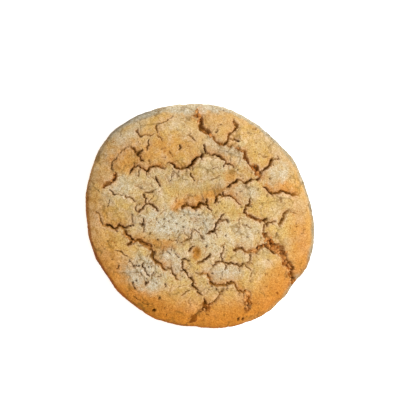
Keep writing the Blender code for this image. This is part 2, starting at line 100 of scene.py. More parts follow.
# A crack: its gap and depth, how far its right bank stands above its left, how browned its left bank is (partly
# toast, partly painted shade on its slope down to the crack), how full of crumb it is, and its route. On the shelves,
# whose routes run east, the raised bank is the south one.
Crack = namedtuple("Crack", "gap depth lift browning crumb route")
CRACKS = (
    Crack(0.8, 1.6, 0.75, 0.8, 0.1, ((-27.4, 13.4), (-26.6, 15), (-25.6, 16.4), (-24.4, 16.6), (-22.9, 15.8),
          (-21.5, 14.7), (-20.3, 16.1), (-17.8, 16.5), (-16.5, 16), (-15, 14.8))),
    Crack(0.9, 1.8, 0.85, 0.7, 0.1, ((-14.6, 16.9), (-13.3, 17.6), (-11.8, 17), (-10.2, 15.7), (-8.2, 15.9),
          (-6.5, 16.5), (-5.1, 18), (-4, 19.2), (-2.4, 19.8), (-1, 21.4))),
    Crack(0.65, 1.8, 0.15, 0.3, 0, ((-1, 21.2), (-1.1, 22.8), (-1.5, 24.3))),
    Crack(0.85, 1.7, 0.45, 0.6, 0.1, ((-1.2, 21.3), (0.6, 21.2), (2.4, 20.8), (4.1, 20.4), (5.5, 19.2), (6.6, 18.5),
          (8.6, 17.3), (10.2, 15.9))),
    Crack(0.6, 1.6, 0.1, 0.2, 0, ((6.4, 18.6), (6.1, 17.4), (5.5, 16.3))),
    Crack(2.1, 1.5, 0.3, 0.6, 0.45, ((-3.3, 36.9), (-3, 34.6), (-1.6, 33), (-1.9, 31.6), (-2, 30.6), (-0.9, 29.6),
          (0.3, 28.8), (1.7, 27.4))),
    Crack(0.88, 1, 0.3, 0.5, 0.4, ((0.9, 28.2), (1.9, 27.2), (2.8, 25.6), (4.6, 24.6), (6.8, 25.1), (7.9, 26.6),
          (8.6, 28.4), (10.6, 30), (11.5, 31.5), (10.4, 33.3), (9.9, 34.5))),
    Crack(0.5, 0.7, 0.2, 0.4, 0.3, ((5.6, 24.4), (7.6, 23.8), (9.4, 24.2), (11.4, 23.2))),
    Crack(0.8, 1.4, 0.2, 0.4, 0.2, ((8, 26.9), (10, 26.4), (11.8, 25.7))),
    Crack(1.35, 1.5, 0.45, 0.4, 0.6, ((11.5, 24.2), (11.8, 22.6), (13.7, 20.9), (14.8, 18.5), (16.6, 16.8),
          (17.8, 15.1), (18.4, 13.3))),
    Crack(3.1, 1.5, 0.3, 0.6, 0.9, ((16.6, 16.9), (18.1, 15.5), (19.2, 14.7), (18.6, 13))),
    Crack(0.85, 1.4, 0.45, 0.4, 0.2, ((19.4, 14.9), (21.2, 16.2), (23.4, 18.1), (24, 19.3), (25.1, 20.3))),
    Crack(0.62, 1.2, 0.1, 0.1, 0, ((24.8, 20), (26.4, 19.7), (26, 21.3))),
    Crack(1.3, 2, 0.2, 0.4, 0.2, ((20, 15.3), (19.9, 14), (18.8, 13.4), (17.4, 12))),
    Crack(0.7, 1.3, 0.6, 0.4, 0.1, ((6.3, 9), (8, 9.9), (9.8, 11.2), (10.9, 12.3), (12.4, 11.4), (13.6, 10.9),
          (14.7, 11.8), (16.4, 12.3), (17.7, 12.1))),
    Crack(0.95, 1.6, 0.85, 1, 0.1, ((19.6, 10.3), (21.2, 9.6), (22.1, 8.2), (24, 7.6), (26.6, 8.1), (28.4, 8.3),
          (29.9, 8.1), (32.6, 7.5), (34.7, 6.8))),
    Crack(0.85, 1.6, 0.2, 0.1, 0.1, ((15.6, 6), (15.1, 4.6), (14.9, 3.2), (13.6, 3), (13.7, 1.8), (13.2, 0.5))),
    Crack(1.15, 1.7, 0.45, 0.3, 0.4, ((12.3, 0.2), (13.4, 0.6), (14.9, -0.3), (16.3, -1.1), (17.7, -1.7), (19, -2.4),
          (20.3, -2.2), (21.5, -0.8))),
    Crack(0.75, 1.4, 0.15, 0.3, 0.2, ((20.7, -3), (20.2, -4.6), (20.3, -6.1))),
    Crack(0.65, 1.3, 0.1, 0.3, 0.1, ((21.2, -4.5), (21.6, -3.3), (22.3, -2.6), (23.8, -2.4), (25.4, -2.2))),
    Crack(0.65, 0.8, 0.5, 0.3, 0.1, ((25.4, -3.2), (26.3, -3.1), (27.2, -2.3), (27.7, -1.2), (28.1, 0.4),
          (29.1, 1.2), (30.2, 2.1))),
    Crack(0.35, 0.5, 0.1, 0.2, 0, ((30, 1.9), (31, 1.1), (32.8, 0.8))),
    Crack(1.8, 1.3, 0.15, 0.4, 0.7, ((20.3, -6), (20.9, -7.1), (21.4, -8.3), (22.5, -9.8))),
    Crack(4, 1.4, 0.25, 0.4, 1, ((21.2, -8.2), (22.4, -9.6), (24.2, -11.2), (26.3, -12.1), (27.8, -13.7),
          (28.7, -15.6), (29.8, -17.5), (30.9, -19.4), (31.9, -21.6), (33.2, -24.4))),
    Crack(0.85, 1.6, 0.1, 0.4, 0, ((20.5, -10.9), (22.1, -11.8), (23.4, -12.6), (24.9, -13.9))),
    Crack(0.8, 1.4, 0.4, 0.4, 0.2, ((8.8, -12), (11.6, -11.8), (13.1, -12.6), (14.9, -13), (16.4, -13))),
    Crack(1.5, 1.3, 0.4, 0.4, 0.9, ((14.4, -12.7), (16.3, -12.5), (17.6, -12.6), (18.6, -11.2), (19.9, -10.8),
          (21.6, -10.3))),
    Crack(0.85, 1.7, 0.9, 1, 0.1, ((-8.9, 1.3), (-8.3, 2.7), (-6.4, 2.9), (-4.3, 2.3), (-3.1, 2.6), (-2.2, 3.8),
          (-1, 3.2), (-0.4, 4.2))),
    Crack(0.45, 0.9, 0.1, 0.4, 0, ((-8.2, 4.3), (-8.3, 3.2), (-7.9, 2.2))),
    Crack(1, 1.9, 0.3, 0.2, 0.1, ((-0.4, 5.6), (-0.3, 4.4), (0.1, 2.6), (1.5, 1))),
    Crack(0.85, 1.6, 0.6, 0.8, 0.1, ((1.9, 3.8), (3, 4.7), (3.1, 6.3), (4.9, 6.4), (6.4, 6.3), (7.9, 6.5),
          (9.4, 5.9), (10.2, 4.9), (11.2, 3.6), (12.2, 2.6))),
    Crack(0.6, 1.6, 0.1, 0.3, 0, ((5.8, 8), (6, 6.2))),
    Crack(0.85, 2, -0.55, 0.1, 0, ((-1, -6.6), (0.2, -6.5), (1.6, -6), (2.5, -4.3), (3.7, -2.8), (4.3, -1.7),
          (4.9, -0.2), (5.8, 0.7))),
    Crack(0.55, 0.9, 0.15, 0.1, 0, ((3.8, -2.6), (5.6, -2), (6.9, -2.1), (7.7, -2.8))),
    Crack(0.7, 1.2, 0.3, 0.2, 0.1, ((-22.6, 7.4), (-22.2, 6.1), (-21.4, 5.3), (-21.7, 4.4), (-21.3, 3.4),
          (-20.1, 3.2), (-18.9, 2.5), (-18, 1.9), (-17.7, 0.3))),
    Crack(0.6, 1.1, 0.45, 0.3, 0, ((-24.9, 0.5), (-23.4, 1.4), (-22.5, 2.1), (-21.3, 3.5))),
    Crack(0.55, 0.6, 0.25, 0.3, 0.1, ((-38.6, 1), (-37.2, 0.1), (-36.7, -1.5), (-36.4, -3.2), (-35.8, -4.4))),
    Crack(1.15, 1.6, 0.6, 0.5, 0.2, ((-36, -3.8), (-34.2, -3.9), (-33.1, -4.5), (-31.6, -4.9), (-30.5, -3.8),
          (-29.6, -4.2), (-28.7, -5.5))),
    Crack(0.6, 1.1, 0.35, 0.2, 0, ((-28.7, -5.3), (-27.6, -4.1), (-26.2, -3.6), (-25.5, -4.2))),
    Crack(0.38, 0.5, 0.1, 0.2, 0, ((-25.9, -3), (-26.2, -1.4), (-26, 0))),
    Crack(1.15, 1.5, 0.4, 0.4, 0.4, ((-28.7, -5.3), (-28.6, -6.6), (-27.2, -7.8), (-26.5, -8.9), (-25.4, -9.1))),
    Crack(1, 1.5, 0.2, 0.3, 0.4, ((-25.8, -9.2), (-26.7, -9.8), (-28.1, -10.9))),
    Crack(1.6, 1.1, 0.4, 0.8, 0.6, ((-27, -8.6), (-25.6, -9.4), (-22.8, -9.7), (-20.7, -10.7), (-20, -12),
          (-19.2, -14.2))),
    Crack(0.85, 1.1, 0.3, 0.6, 0.3, ((-19.8, -12.6), (-19.2, -14.2), (-18.7, -15.6), (-16.7, -16.9), (-15.5, -18.6),
          (-14, -19.2))),
    Crack(0.55, 1, 0.2, 0.4, 0.1, ((-14.6, -18.9), (-13.1, -18.8), (-12.4, -20.5), (-10.8, -22.3), (-9.4, -23))),
    Crack(0.75, 1.4, 0.2, 0.3, 0.1, ((-9.5, -15.5), (-8.7, -17.2), (-8.3, -19.2), (-7.1, -20.6), (-6.2, -21.9),
          (-4.8, -23.2), (-5.2, -24.4), (-4, -25.5), (-3.1, -27.3), (-0.9, -28.7))),
    Crack(0.45, 1.1, 0.1, 0.1, 0, ((-9.6, -15.7), (-7.6, -15.6), (-6, -15.9))),
    Crack(0.6, 1.6, 0.1, 0.1, 0, ((-8.1, -19.2), (-9.9, -19.7))),
    Crack(0.65, 1.2, 0.4, 0.2, 0.1, ((1.5, -18.6), (2.7, -17.4), (3.8, -16.5), (5.3, -16.2), (6.7, -16.8),
          (8.2, -16.9), (9.6, -17.5), (11.7, -18), (12.8, -17.3), (14, -16.6))),
    Crack(0.55, 0.9, 0.2, 0.1, 0, ((13.3, -17.3), (14.6, -18.6), (15.7, -20))),
    Crack(0.55, 1.1, 0.1, 0.1, 0, ((6.3, -16.8), (6.4, -19.4))),
    Crack(0.65, 1.4, 0.1, 0.2, 0.1, ((15, -13.8), (15.2, -16.4), (14, -16.9))),
    Crack(0.65, 1.4, 0.15, 0.1, 0, ((5.7, -10.8), (5.5, -12.6), (5, -15), (5.3, -16.2))),
    Crack(0.85, 0.9, 0.65, 0.6, 0.3, ((-3.8, -20.6), (-0.8, -20.5), (0.4, -21.9), (1.1, -23.2), (2, -24.1),
          (3.6, -24.8), (6.7, -24.7), (8, -24), (8.9, -23.5), (10.3, -24.4), (12.4, -26.8), (13.5, -27.1),
          (15.2, -26.6))),
    Crack(2.6, 1, 0.15, 0.3, 1, ((14.4, -26.6), (14.8, -28), (14.2, -29.2), (14.7, -30.8), (14.9, -32.3),
          (15.7, -34))),
    Crack(0.62, 0.8, 0.25, 0.3, 0.1, ((6.4, -26), (4.7, -27.9), (3.6, -29.2), (3, -30.2), (1.3, -31.6))),
    Crack(1.4, 1.4, 0.2, 0.5, 0.9, ((2, -30.6), (0.6, -31.8), (-0.4, -32.6), (-1.6, -33.4))),
    Crack(0.7, 1, 0.2, 0.4, 0.2, ((0.3, -33.2), (-1.8, -33.7), (-3.8, -34.5))),
    Crack(0.55, 0.7, 0.2, 0.4, 0.2, ((-1.2, -28.5), (-0.7, -30.2), (-0.2, -31.6))),
    Crack(1.2, 1.3, 0.3, 0.5, 0.6, ((-36.6, 8.8), (-35.5, 9.8), (-34.2, 10.4), (-32.9, 11.2), (-32, 12.6),
          (-31.9, 14.6))),
    Crack(0.44, 0.6, 0.15, 0.4, 0, ((-31.9, 14.4), (-33, 16.3), (-32.8, 17.9), (-31.2, 19.5), (-29.8, 21.2),
          (-28.1, 23), (-26.4, 23.6))),
    Crack(0.8, 1.3, 0.2, 0.5, 0.1, ((-26.9, 23.4), (-25.4, 22.4), (-24.4, 20.6), (-23.5, 19.7), (-22, 18.1))),
    Crack(0.6, 1.1, 0.1, 0.5, 0, ((-24.4, 20.6), (-23.6, 21.7), (-22.4, 22.2))),
    Crack(0.55, 1, 0.15, 0.3, 0, ((-21.4, 21.7), (-20.4, 23.6), (-20.1, 25.6))),
    Crack(0.52, 0.7, 0.3, 0.4, 0, ((-24.1, 29.8), (-24.5, 28.3), (-23.2, 26.5), (-21.5, 27.4), (-18.7, 27.3),
          (-17.6, 27.6))),
    Crack(0.55, 0.7, 0.2, 0.4, 0, ((-17.3, 31.4), (-17.9, 29.8), (-17.4, 27.7), (-17, 26.5), (-15.8, 24.8))),
    Crack(0.45, 0.7, 0.2, 0.2, 0, ((-17.2, 31.2), (-15.3, 31.6), (-13.2, 33.1), (-11.4, 34.7))),
    Crack(0.55, 1.1, 0.2, 0.2, 0, ((-29, 6.7), (-27.4, 5.6), (-25.7, 4.3), (-24.6, 4))),
    Crack(0.65, 1.3, 0.1, 0.1, 0, ((-33.9, 8.5), (-33, 7.3), (-31.8, 6.4))),
    Crack(0.38, 0.5, 0.05, 0.1, 0, ((-31.9, 6.4), (-31.3, 6.6), (-29, 6.7))),
    Crack(0.45, 0.9, 0.05, 0, 0, ((-24.6, 3.6), (-25.1, 2.4), (-25, 0.6))),
    Crack(0.5, 1.2, 0.2, 0.2, 0, ((-18.2, 13.2), (-17.9, 11.5), (-17.2, 10.3), (-16.8, 9.1))),
    Crack(0.4, 0.8, 0.1, 0.1, 0, ((-18.4, 8.6), (-20.9, 7.3), (-22.4, 7))),
    Crack(0.6, 1.2, 0.15, 0.2, 0, ((-6.2, 14.6), (-5.3, 12.6), (-4.6, 11.2))),
    Crack(0.55, 1.3, 0.1, 0.2, 0, ((-9.8, 24.2), (-9.9, 22))),
    Crack(0.5, 1.6, 0.15, 0.3, 0, ((-22.4, -1.3), (-22.4, -2.7), (-22.9, -3.8))),
    Crack(0.45, 0.8, 0.15, 0.1, 0, ((-13.8, -8.6), (-12.1, -9), (-9.9, -9.6), (-8.4, -9.3), (-6.5, -8.6),
          (-5.8, -7.6), (-5.9, -5.2))),
    Crack(0.45, 0.8, 0.1, 0.1, 0, ((-6.1, -4.9), (-4.6, -5.4), (-3.2, -6.4), (-2.4, -7.6), (-0.9, -8.6))),
    Crack(0.62, 1.4, 0.1, 0.2, 0, ((-4.8, -10.8), (-6, -11.7), (-7, -13))),
    Crack(0.6, 1.1, 0.15, 0.2, 0, ((-3.6, -17.7), (-3.2, -16.6), (-1.9, -16.5), (-0.4, -15.8), (0.9, -14),
          (0.6, -13.2))),
    Crack(0.48, 0.9, 0.15, 0.1, 0, ((-22.2, -16.2), (-22.4, -18.3), (-21.6, -19.7), (-21.1, -20.9), (-19.8, -21.4))),
    Crack(0.72, 1.5, 0.1, 0.2, 0, ((-21.7, -24.2), (-20.4, -22.7))),
    Crack(0.55, 1.4, 0.1, 0.1, 0, ((-26, -17.8), (-23.6, -17.4))),
)
# Routes of fine cracks, and what these and the small ticks that split a raised lip have before their route.
HAIRS = (
    ((-25.7, -17.6), (-24.8, -17.8), (-23.7, -17.4)), ((-25.8, -23.1), (-25.4, -24.3), (-24.7, -25.4)),
    ((-14.8, -23.4), (-15, -25.2)), ((-16.8, -29.5), (-16, -28.6)), ((-9.2, -27.8), (-7.7, -27.2), (-5.4, -26.2)),
    ((-25.7, 9.9), (-23.4, 8.7), (-22.9, 8.4)), ((-20.4, 18.9), (-20.3, 16.9)),
    ((-7.5, 27.4), (-6.3, 27.6), (-5.2, 26.6), (-4.3, 25.4), (-3.8, 24.6)), ((3.6, 28.6), (3.9, 29.8), (5.5, 31.5)),
    ((9.9, 26.8), (11.7, 25.3)), ((-25.2, -27.7), (-22.4, -29.5), (-19.5, -31.2)), ((-31.4, -18.6), (-30.1, -17.3)),
    ((-24.1, 25), (-23.4, 23.6)), ((1.5, -20.5), (2.1, -20.7)), ((-4.4, -20.3), (-3, -20.8)),
    ((0.7, 11.6), (2.2, 12.4), (4.7, 13.3)), ((-32.5, 18.2), (-31.1, 18.8)), ((25.2, -6), (24.7, -8.1)),
    ((34.7, -6.8), (35.8, -5.7), (37, -5)), ((26.6, 4), (26.9, 5.3), (26.6, 6.6)), ((18.4, 21.5), (22.7, 21)),
    ((17.1, 30.4), (19.2, 31.1)), ((13.8, 29), (13.1, 27.9)), ((-17.9, -21.6), (-16.3, -20.5)),
    ((-32.4, -12.3), (-30.5, -12.9), (-28.5, -14.3), (-27.4, -15)), ((-21.8, -14.5), (-19.8, -13.9)),
    ((-11.6, -13.4), (-9.8, -15)), ((-16.5, 22.1), (-14.9, 23.1)), ((-34, 5), (-34, 3.6), (-34.5, 1.9)),
)
HAIR = (0.36, 0.6, 0.05, 0.1, 0.0)
TICK = (0.38, 0.7, 0.0, 0.1, 0.0)
WANDERING_HAIRS = 95
# How far to each side of its line a crack draws points in, and how far it shapes them if it has banks or has none.
GATHER_REACH, BANK_REACH, HAIR_REACH = 1.1, 9.0, 2.5

# Pores and small holes of the crust, as positions, and deeper and caramel-red ones with a radius each.
PORES = (
    (-8.4, -0.3), (-9.6, -1.2), (-3.3, -0.3), (-11.2, -3.3), (-8.7, -4.4), (-15.4, -4.3), (-18, -1.5), (-15.4, -1.8),
    (-34.4, -9.3), (-18, -1.7), (-17.3, -2.9), (-13.8, -2.5), (-20.3, -6.9), (-17.5, -8.8), (-13.5, -8.8),
    (-11, -3.4), (6.4, -7.4), (-0.5, -11), (-2.4, -7.6), (13.9, -3.6), (14.2, -7.8), (21.6, 6.5), (23, 12.8),
    (15.8, 2.9), (2, -20.5), (-3.6, -19.2), (-14.7, -24.1), (-16.3, -28.8), (-21.1, -22), (-24.5, -22.7),
    (-24.8, -25.4), (-25.4, -23.3), (-20.5, -18.1), (-19.6, -18), (-11.8, -12.5), (5.5, 31.6), (3.4, 28.8),
    (11, 15.6), (12, 2.6), (-25.6, 17.4), (11.6, 25.8),
)
PITS = (
    (-21.3, -23.6, 0.6), (-24.2, 20.6, 1), (-22.8, -3.5, 0.85), (-2.8, 34.3, 0.75), (-1.3, 32, 0.8), (-2, 30.2, 0.9),
    (18.3, 14.6, 1), (17.2, 16.5, 0.7), (-19.3, -14.1, 1.1), (-20, -12, 0.6),
)
RED_HOLES = (
    (-4, -36, 1.5), (-17.8, -33.2, 0.6), (26.2, -27.4, 0.6), (14, -36.6, 0.7), (12.3, -36.5, 0.6),
    (15.9, -30.8, 0.6), (-0.1, -31.9, 1.6), (15, -31.6, 0.8),
)
SCATTERED_PORES = 160
# A drop of caramelised sugar, the burnt part of it, and a part of the crust without crazing: centre east and north,
# half-width and half-length.
CARAMEL_SPOT = (-4.0, -13.5, 2.1, 3.0)
BURNT_SPOT = (-3.4, -12.8, 0.9, 1.5)
SMOOTH_SPOT = (-30.5, 7.5, 7.5, 7.0)

# Patches where the crust is toasted, and where it stayed pale: east, north, half-length, half-width, turn, share.
TOASTED = (
    (-18, 22, 15, 5, 8, 0.55), (-29, 18, 5, 5, 0, 0.58), (-10.8, 3.1, 3, 1.3, 6, 0.76),
    (-3.5, 4.9, 7.5, 1.9, 14, 0.7), (4, 8, 4.5, 1.8, 12, 0.7), (8, 12, 3.6, 2, 62, 0.55),
    (28.3, 9.7, 4.3, 1.5, -4, 0.66), (-17, -10.4, 5.5, 1.8, -14, 0.6), (34.5, -10, 4, 11, 5, 0.5),
    (-38, -8, 2.8, 7, 10, 0.12), (-34, 10.5, 2, 2.4, -40, 0.35), (-32, -14, 4, 3.5, 0, 0.16), (3, 33, 9, 4, 0, 0.12),
    (14, 15, 2.6, 2.6, -45, 0.3), (-15, -33.5, 12, 3.2, -24, 0.62), (-23.5, -28.8, 4.5, 2, -35, 0.35),
    (16, -33, 12, 3.5, 24, 0.55), (1, -37, 10, 3.2, 0, 0.6), (8, -32, 8, 3, 0, 0.3), (26, -24, 8, 5, 60, 0.55),
    (-30, -21, 3.5, 7, -40, 0.22),
)
PALE = (
    (-9.5, -2.8, 15, 5.6, -4, 1.15), (1, -9, 8, 4, -20, 0.6), (-19, 11.5, 11, 3.6, 4, 0.45),
    (13, 8, 5.5, 3.4, 0, 0.8), (-34, 20, 3, 5, 40, 0.55), (18, -17, 4, 4, 0, 0.22), (4, 14, 8, 3.5, 8, 0.22),
    (6, 22.8, 7, 2.6, -20, 0.7), (-12.8, -16.2, 5, 3.2, -35, 1.22), (-21.6, -20, 7.6, 6, -30, 1.02),
    (6, -20.2, 6.2, 3.2, 0, 1), (26, 14, 5.8, 4.2, 20, 0.8), (-30.6, 8.4, 5.6, 4.2, 10, 0.72),
    (-5, 38.6, 15, 3.4, 0, 1.35), (-10, 32, 5, 4, 0, 0.45), (-29, 25, 3.5, 9, -38, 0.6), (27, 27, 3.5, 9, 40, 0.22),
    (11, -6, 8, 5, 0, 0.65), (9.5, 18.5, 4.5, 3.5, 0, 0.58), (-24.5, 1, 3, 4, 0, 0.55), (-38, -5, 2.6, 6.5, 0, 0.2),
)
# Patches of painted shade, a little darker than the crust around them, and patches of painted light, a little
# lighter.
PAINTED_SHADE_PATCHES = (
    (0, 13, 13, 4.5, 8, 0.11), (-28, 18, 5, 5, 0, 0.07), (-30, 0, 6, 5, 0, 0.1), (5, 23, 6, 3, -15, 0.1),
    (-17, -10, 6, 3, -20, 0.08), (27, 25, 7, 10, 40, 0.08), (-4, -6, 8, 4, 0, 0.06), (36, 2, 3, 7, 0, 0.03),
    (-14, -33, 8, 4, -20, 0.05),
)
PAINTED_LIGHT_PATCHES = (
    (-31, 7.5, 5, 5, 0, 0.14), (-37.5, -7, 4, 8, 0, 0.2), (-32, -14, 4, 5, 0, 0.1), (10, 18, 4, 3, 0, 0.05),
    (-27.5, -25.5, 7, 4.5, -42, 0.16), (11, -6, 8, 5, 0, 0.05), (30, 10, 5, 3, 0, 0.05), (-22, -20, 6, 5, 0, 0.05),
    (6, -20, 6, 4, 0, 0.05),
)
# Where the crust is dry enough to be crazed with hair cracks and pinholes.
DRY = (
    (0, 0, 60, 60, 0, 0.3), (-5, 11, 17, 5.5, 5, 0.9), (-9, -2.5, 15, 5.5, 0, 1), (8, -6, 11, 8, 0, 0.62),
    (-21, -19, 7, 7, 0, 1), (4, -18, 14, 5, 0, 0.55), (24, 2, 7, 5, 0, 0.6), (6, 22.5, 6, 3, -15, 0.55),
    (-20, -26, 9, 6, -30, 0.55),
)
# How toasted the rim is at each bearing, and how far in from the rim that reaches, as a share of the radius.
RIM_TOAST = (
    (0, 0.3, 0.42), (25, 0.2, 0.42), (50, 0.08, 0.4), (75, 0.22, 0.4), (95, 0.32, 0.4), (120, 0.1, 0.3),
    (150, 0.14, 0.25), (175, 0.36, 0.28), (200, 0.58, 0.36), (225, 0.92, 0.34), (250, 1, 0.38), (285, 1, 0.42),
    (315, 0.88, 0.45), (340, 0.52, 0.45), (360, 0.3, 0.42),
)
# The rim's edge at each bearing: how pale and dusty it is, how far painted shade darkens it over a band and at its
# very edge (below nought, painted light lightens it), and how brown that painted shade is.
RIM_EDGE = (
    (0, 1, 0.42, -0.04, 0.2), (30, 0.95, 0.3, 0.02, 0.15), (60, 1.35, 0.23, 0.02, 0.1), (90, 1.45, 0.06, 0, 0.05),
    (107, 1.45, -0.04, 0, 0), (120, 1.4, 0.34, 0.34, 0), (150, 0.55, 0.08, 0.36, 0.45), (180, 0, 0, 0.58, 1),
    (210, 0, 0.05, 0.72, 0.9), (240, 0, 0, 0.34, 0.5), (270, 0, 0, 0.3, 0.3), (300, 0.35, 0.18, 0.12, 0.1),
    (330, 0.9, 0.36, 0, 0.2), (360, 1, 0.42, -0.04, 0.2),
)

# Fields of noise: the size of their features in millimetres, how many octaves they have, and a shift that sets
# each of them apart.
NOISES = {
    "gap": (2.2, 1, 0), "fine gap": (0.6, 1, 12), "fray": (0.95, 1, 23), "fine fray": (0.42, 1, 29),
    "crack depth": (1.7, 1, 35), "ragged hole": (0.9, 1, 0), "lumps": (6.5, 2, 0), "small lumps": (2.4, 1, 40),
    "grain": (1.1, 1, 80), "fine grain": (0.55, 1, 95), "hair lines": (7, 1, 150), "crackle": (2.6, 1, 170),
    "tray pores": (2.2, 2, 200), "rim streaks": (1, 2, 210), "patches east": (4, 3, 220),
    "patches north": (4, 3, 240), "wall streaks": (2.1, 2, 260), "dust line": (6, 2, 280),
}
# The small flakes of the dry top and its larger plates, as size and shift.
FLAKES, PLATES = (2.2, 31.0), (5.2, 57.0)
TORN_LUMP = 2.3

# Sizes of the patterns in the materials, in metres.
CLOUD, BLOTCH, HAIR_PATCH, PLATE, PINHOLE = 0.0075, 0.0030, 0.0019, 0.0030, 0.0016
FLECK, WARP, SPECK, SUGAR, DUST = 0.0011, 0.0009, 0.00050, 0.00042, 0.00040

# The key light's place and size, and the point that the camera looks at, in metres.
KEY_PLACE, KEY_SIZE = (0.26, 0.08, 0.38), 0.20
AIM = Vector((-1.43, 5.48, 6.0)) * MM


# ---------------------------------------------------------------- settings

def colour(name, description, *rgb):
    return bpy.props.FloatVectorProperty(
        name=name, description=description, subtype="COLOR", size=4, min=0.0, max=1.0, default=(*rgb, 1.0))


class CookieShape(bpy.types.PropertyGroup):
    """Sizes of the cookie's form."""
    crown_height: bpy.props.FloatProperty(
        name="Crown height", description="Height of the dome's crown over the tray, without its swells",
        default=0.0128, min=0.008, max=0.016, unit="LENGTH")
    crack_depth: bpy.props.FloatProperty(
        name="Crack depth", description="Depth of every crack, as a share of its own",
        default=1.0, min=0.0, max=1.6, subtype="FACTOR")
    shelf_height: bpy.props.FloatProperty(
        name="Shelf height", description="How far the banks of the cracks stand apart, as a share of their own",
        default=1.0, min=0.0, max=2.0, subtype="FACTOR")
    lump_height: bpy.props.FloatProperty(
        name="Lump height", description="Height of the uneven lumps of the dough",
        default=0.00032, min=0.0, max=0.001, unit="LENGTH")
    flake_height: bpy.props.FloatProperty(
        name="Flake height", description="Height of the small flakes that the dry top breaks into",
        default=0.00013, min=0.0, max=0.0004, unit="LENGTH")
    grain_height: bpy.props.FloatProperty(
        name="Grain height", description="Height of the fine grain of the crust",
        default=0.00010, min=0.0, max=0.0004, unit="LENGTH")


class CookieBake(bpy.types.PropertyGroup):
    """Colours of the baked dough."""
    golden: colour("Golden crust", "Colour of the evenly baked crust", 0.456, 0.297, 0.092)
    cream: colour("Pale crust", "Colour of the crust that stayed pale", 0.436, 0.370, 0.250)
    # The rosy colour is also the painted highlight on the lips along the cracks, partly their own paler colour.
    rosy: colour("Rosy lip", "Colour of the thin, dry lips along the cracks", 0.600, 0.430, 0.275)
    toasted: colour("Toasted crust", "Colour of the orange-brown crust", 0.450, 0.172, 0.024)
    amber: colour("Amber rim", "Colour of the glowing brown rim", 0.530, 0.178, 0.014)
    # Deep brown is laid on as painted shade in cracks, pores, pits and crumb pockets, and as the burnt sugar's own
    # colour.
    deep: colour("Deep brown", "Colour inside the cracks and pores", 0.098, 0.034, 0.000)
    crumb: colour("Crumb", "Colour of the torn crumb in the wide cracks", 0.262, 0.070, 0.003)
    # In the wide cracks the crumb colour is partly painted shade, and the tops colour partly painted light on the
    # higher lumps.
    crumb_tops: colour("Crumb tops", "Colour of the higher lumps in the torn crumb", 0.600, 0.300, 0.095)
    tray_side: colour("Tray side", "Colour of the browned underside", 0.360, 0.150, 0.034)
    # The browned bank colour is partly painted warm shade where the banks run down into a crack.
    bank: colour("Browned bank", "Colour of the banks that run down into a crack", 0.260, 0.098, 0.001)
    flour: colour("Flour", "Colour of the palest, dustiest crust", 0.600, 0.500, 0.325)
    hairline: colour("Hair crack", "Colour of the finest cracks and pinholes", 0.155, 0.078, 0.010)
    sugar: colour("Sugar", "Colour of single pale grains of flour and sugar", 0.600, 0.480, 0.290)
    roughness: bpy.props.FloatProperty(
        name="Roughness", description="Roughness of the crust", default=0.80, min=0.0, max=1.0, subtype="FACTOR")


class CookieStage(bpy.types.PropertyGroup):
    """The stage, its lights and the camera."""
    floor_colour: colour("Floor", "Colour of the floor", 0.93, 0.93, 0.93)
    key_power: bpy.props.FloatProperty(
        name="Key light", description="Power of the soft key light", default=2.05, min=0.0, unit="POWER")
    sky: bpy.props.FloatProperty(
        name="Sky", description="Strength of the even light from all round", default=0.88, min=0.0)
    camera_distance: bpy.props.FloatProperty(
        name="Camera distance", description="Distance from the camera to the cookie's middle",
        default=0.3902, min=0.1, unit="LENGTH")
    camera_tilt: bpy.props.FloatProperty(
        name="Camera tilt", description="How far the camera leans from straight above",
        default=math.radians(14.0), subtype="ANGLE")
    camera_bearing: bpy.props.FloatProperty(
        name="Camera bearing", description="The side that the camera leans to, from east towards north",
        default=math.radians(190.0), subtype="ANGLE")
    lens: bpy.props.FloatProperty(
        name="Lens", description="Focal length of the camera", default=100.0, min=20.0, unit="CAMERA")


# ---------------------------------------------------------------- form of the cookie

def bell(off, width):
    """A soft bump of 1 where off is nought, and about a third a width away."""
    return np.exp(-((off / width) ** 2))


def smooth_step(low, high, value):
    """Runs smoothly from 0 where value is low to 1 where it is high, and low may be the greater."""
    t = np.clip((value - low) / (high - low), 0.0, 1.0)
    return t * t * (3.0 - 2.0 * t)


def plan_at(reach, bearing):
    return np.stack((reach * np.cos(bearing), reach * np.sin(bearing)), 1)


def rim_radius(bearing):
    """Radius of the widest line at bearings in radians, in millimetres."""
    radius = np.full(np.shape(bearing), MEAN_RADIUS)
    for waves, swing, crest in RIM_WAVES:
        radius = radius + swing * np.cos(waves * (bearing - math.radians(crest)))
    centre, half_width = math.radians(RIM_NOTCH[0]), math.radians(RIM_NOTCH[1])
    off = (bearing - centre + math.pi) % math.tau - math.pi
    return radius - RIM_NOTCH[2] * bell(off, half_width)


def dome_height(crown, share):
    return RIM_HEIGHT + (crown - RIM_HEIGHT) * np.sqrt(1.0 - share**DOME_POWER)


def section(crown):
    """The section from crown to tray as columns: way travelled, share of the rim's radius, tuck, height, normal."""
    inner = np.linspace(0.0, STEEP_FROM, 240)
    fall = np.linspace(math.sqrt(1.0 - STEEP_FROM**DOME_POWER), 0.0, 160)[1:]
    share = np.concatenate((inner, (1.0 - fall**2) ** (1.0 / DOME_POWER)))
    height = dome_height(crown, share)
    turn = np.linspace(0.0, 0.5 * math.pi, 60)[1:]
    share = np.concatenate((share, np.ones(len(turn))))
    tuck = np.concatenate((np.zeros(len(height)), WALL_TUCK * (1.0 - np.cos(turn))))
    height = np.concatenate((height, RIM_HEIGHT * (1.0 - np.sin(turn))))
    reach = MEAN_RADIUS * share - tuck
    travelled = np.concatenate(([0.0], np.cumsum(np.hypot(np.diff(reach), np.diff(height)))))
    out, up = -np.gradient(height, travelled), np.gradient(reach, travelled)
    return travelled / travelled[-1], share, tuck, height, out, up


def torn(route, draw, step=0.34, swing=0.27):
    """A route with every run halved, and each halfway point pushed aside, until it is as ragged as torn dough."""
    line = [route[0]]
    for start, end in zip(route, route[1:]):
        line += halved(start, end, draw, step, swing)
    return np.array(line)


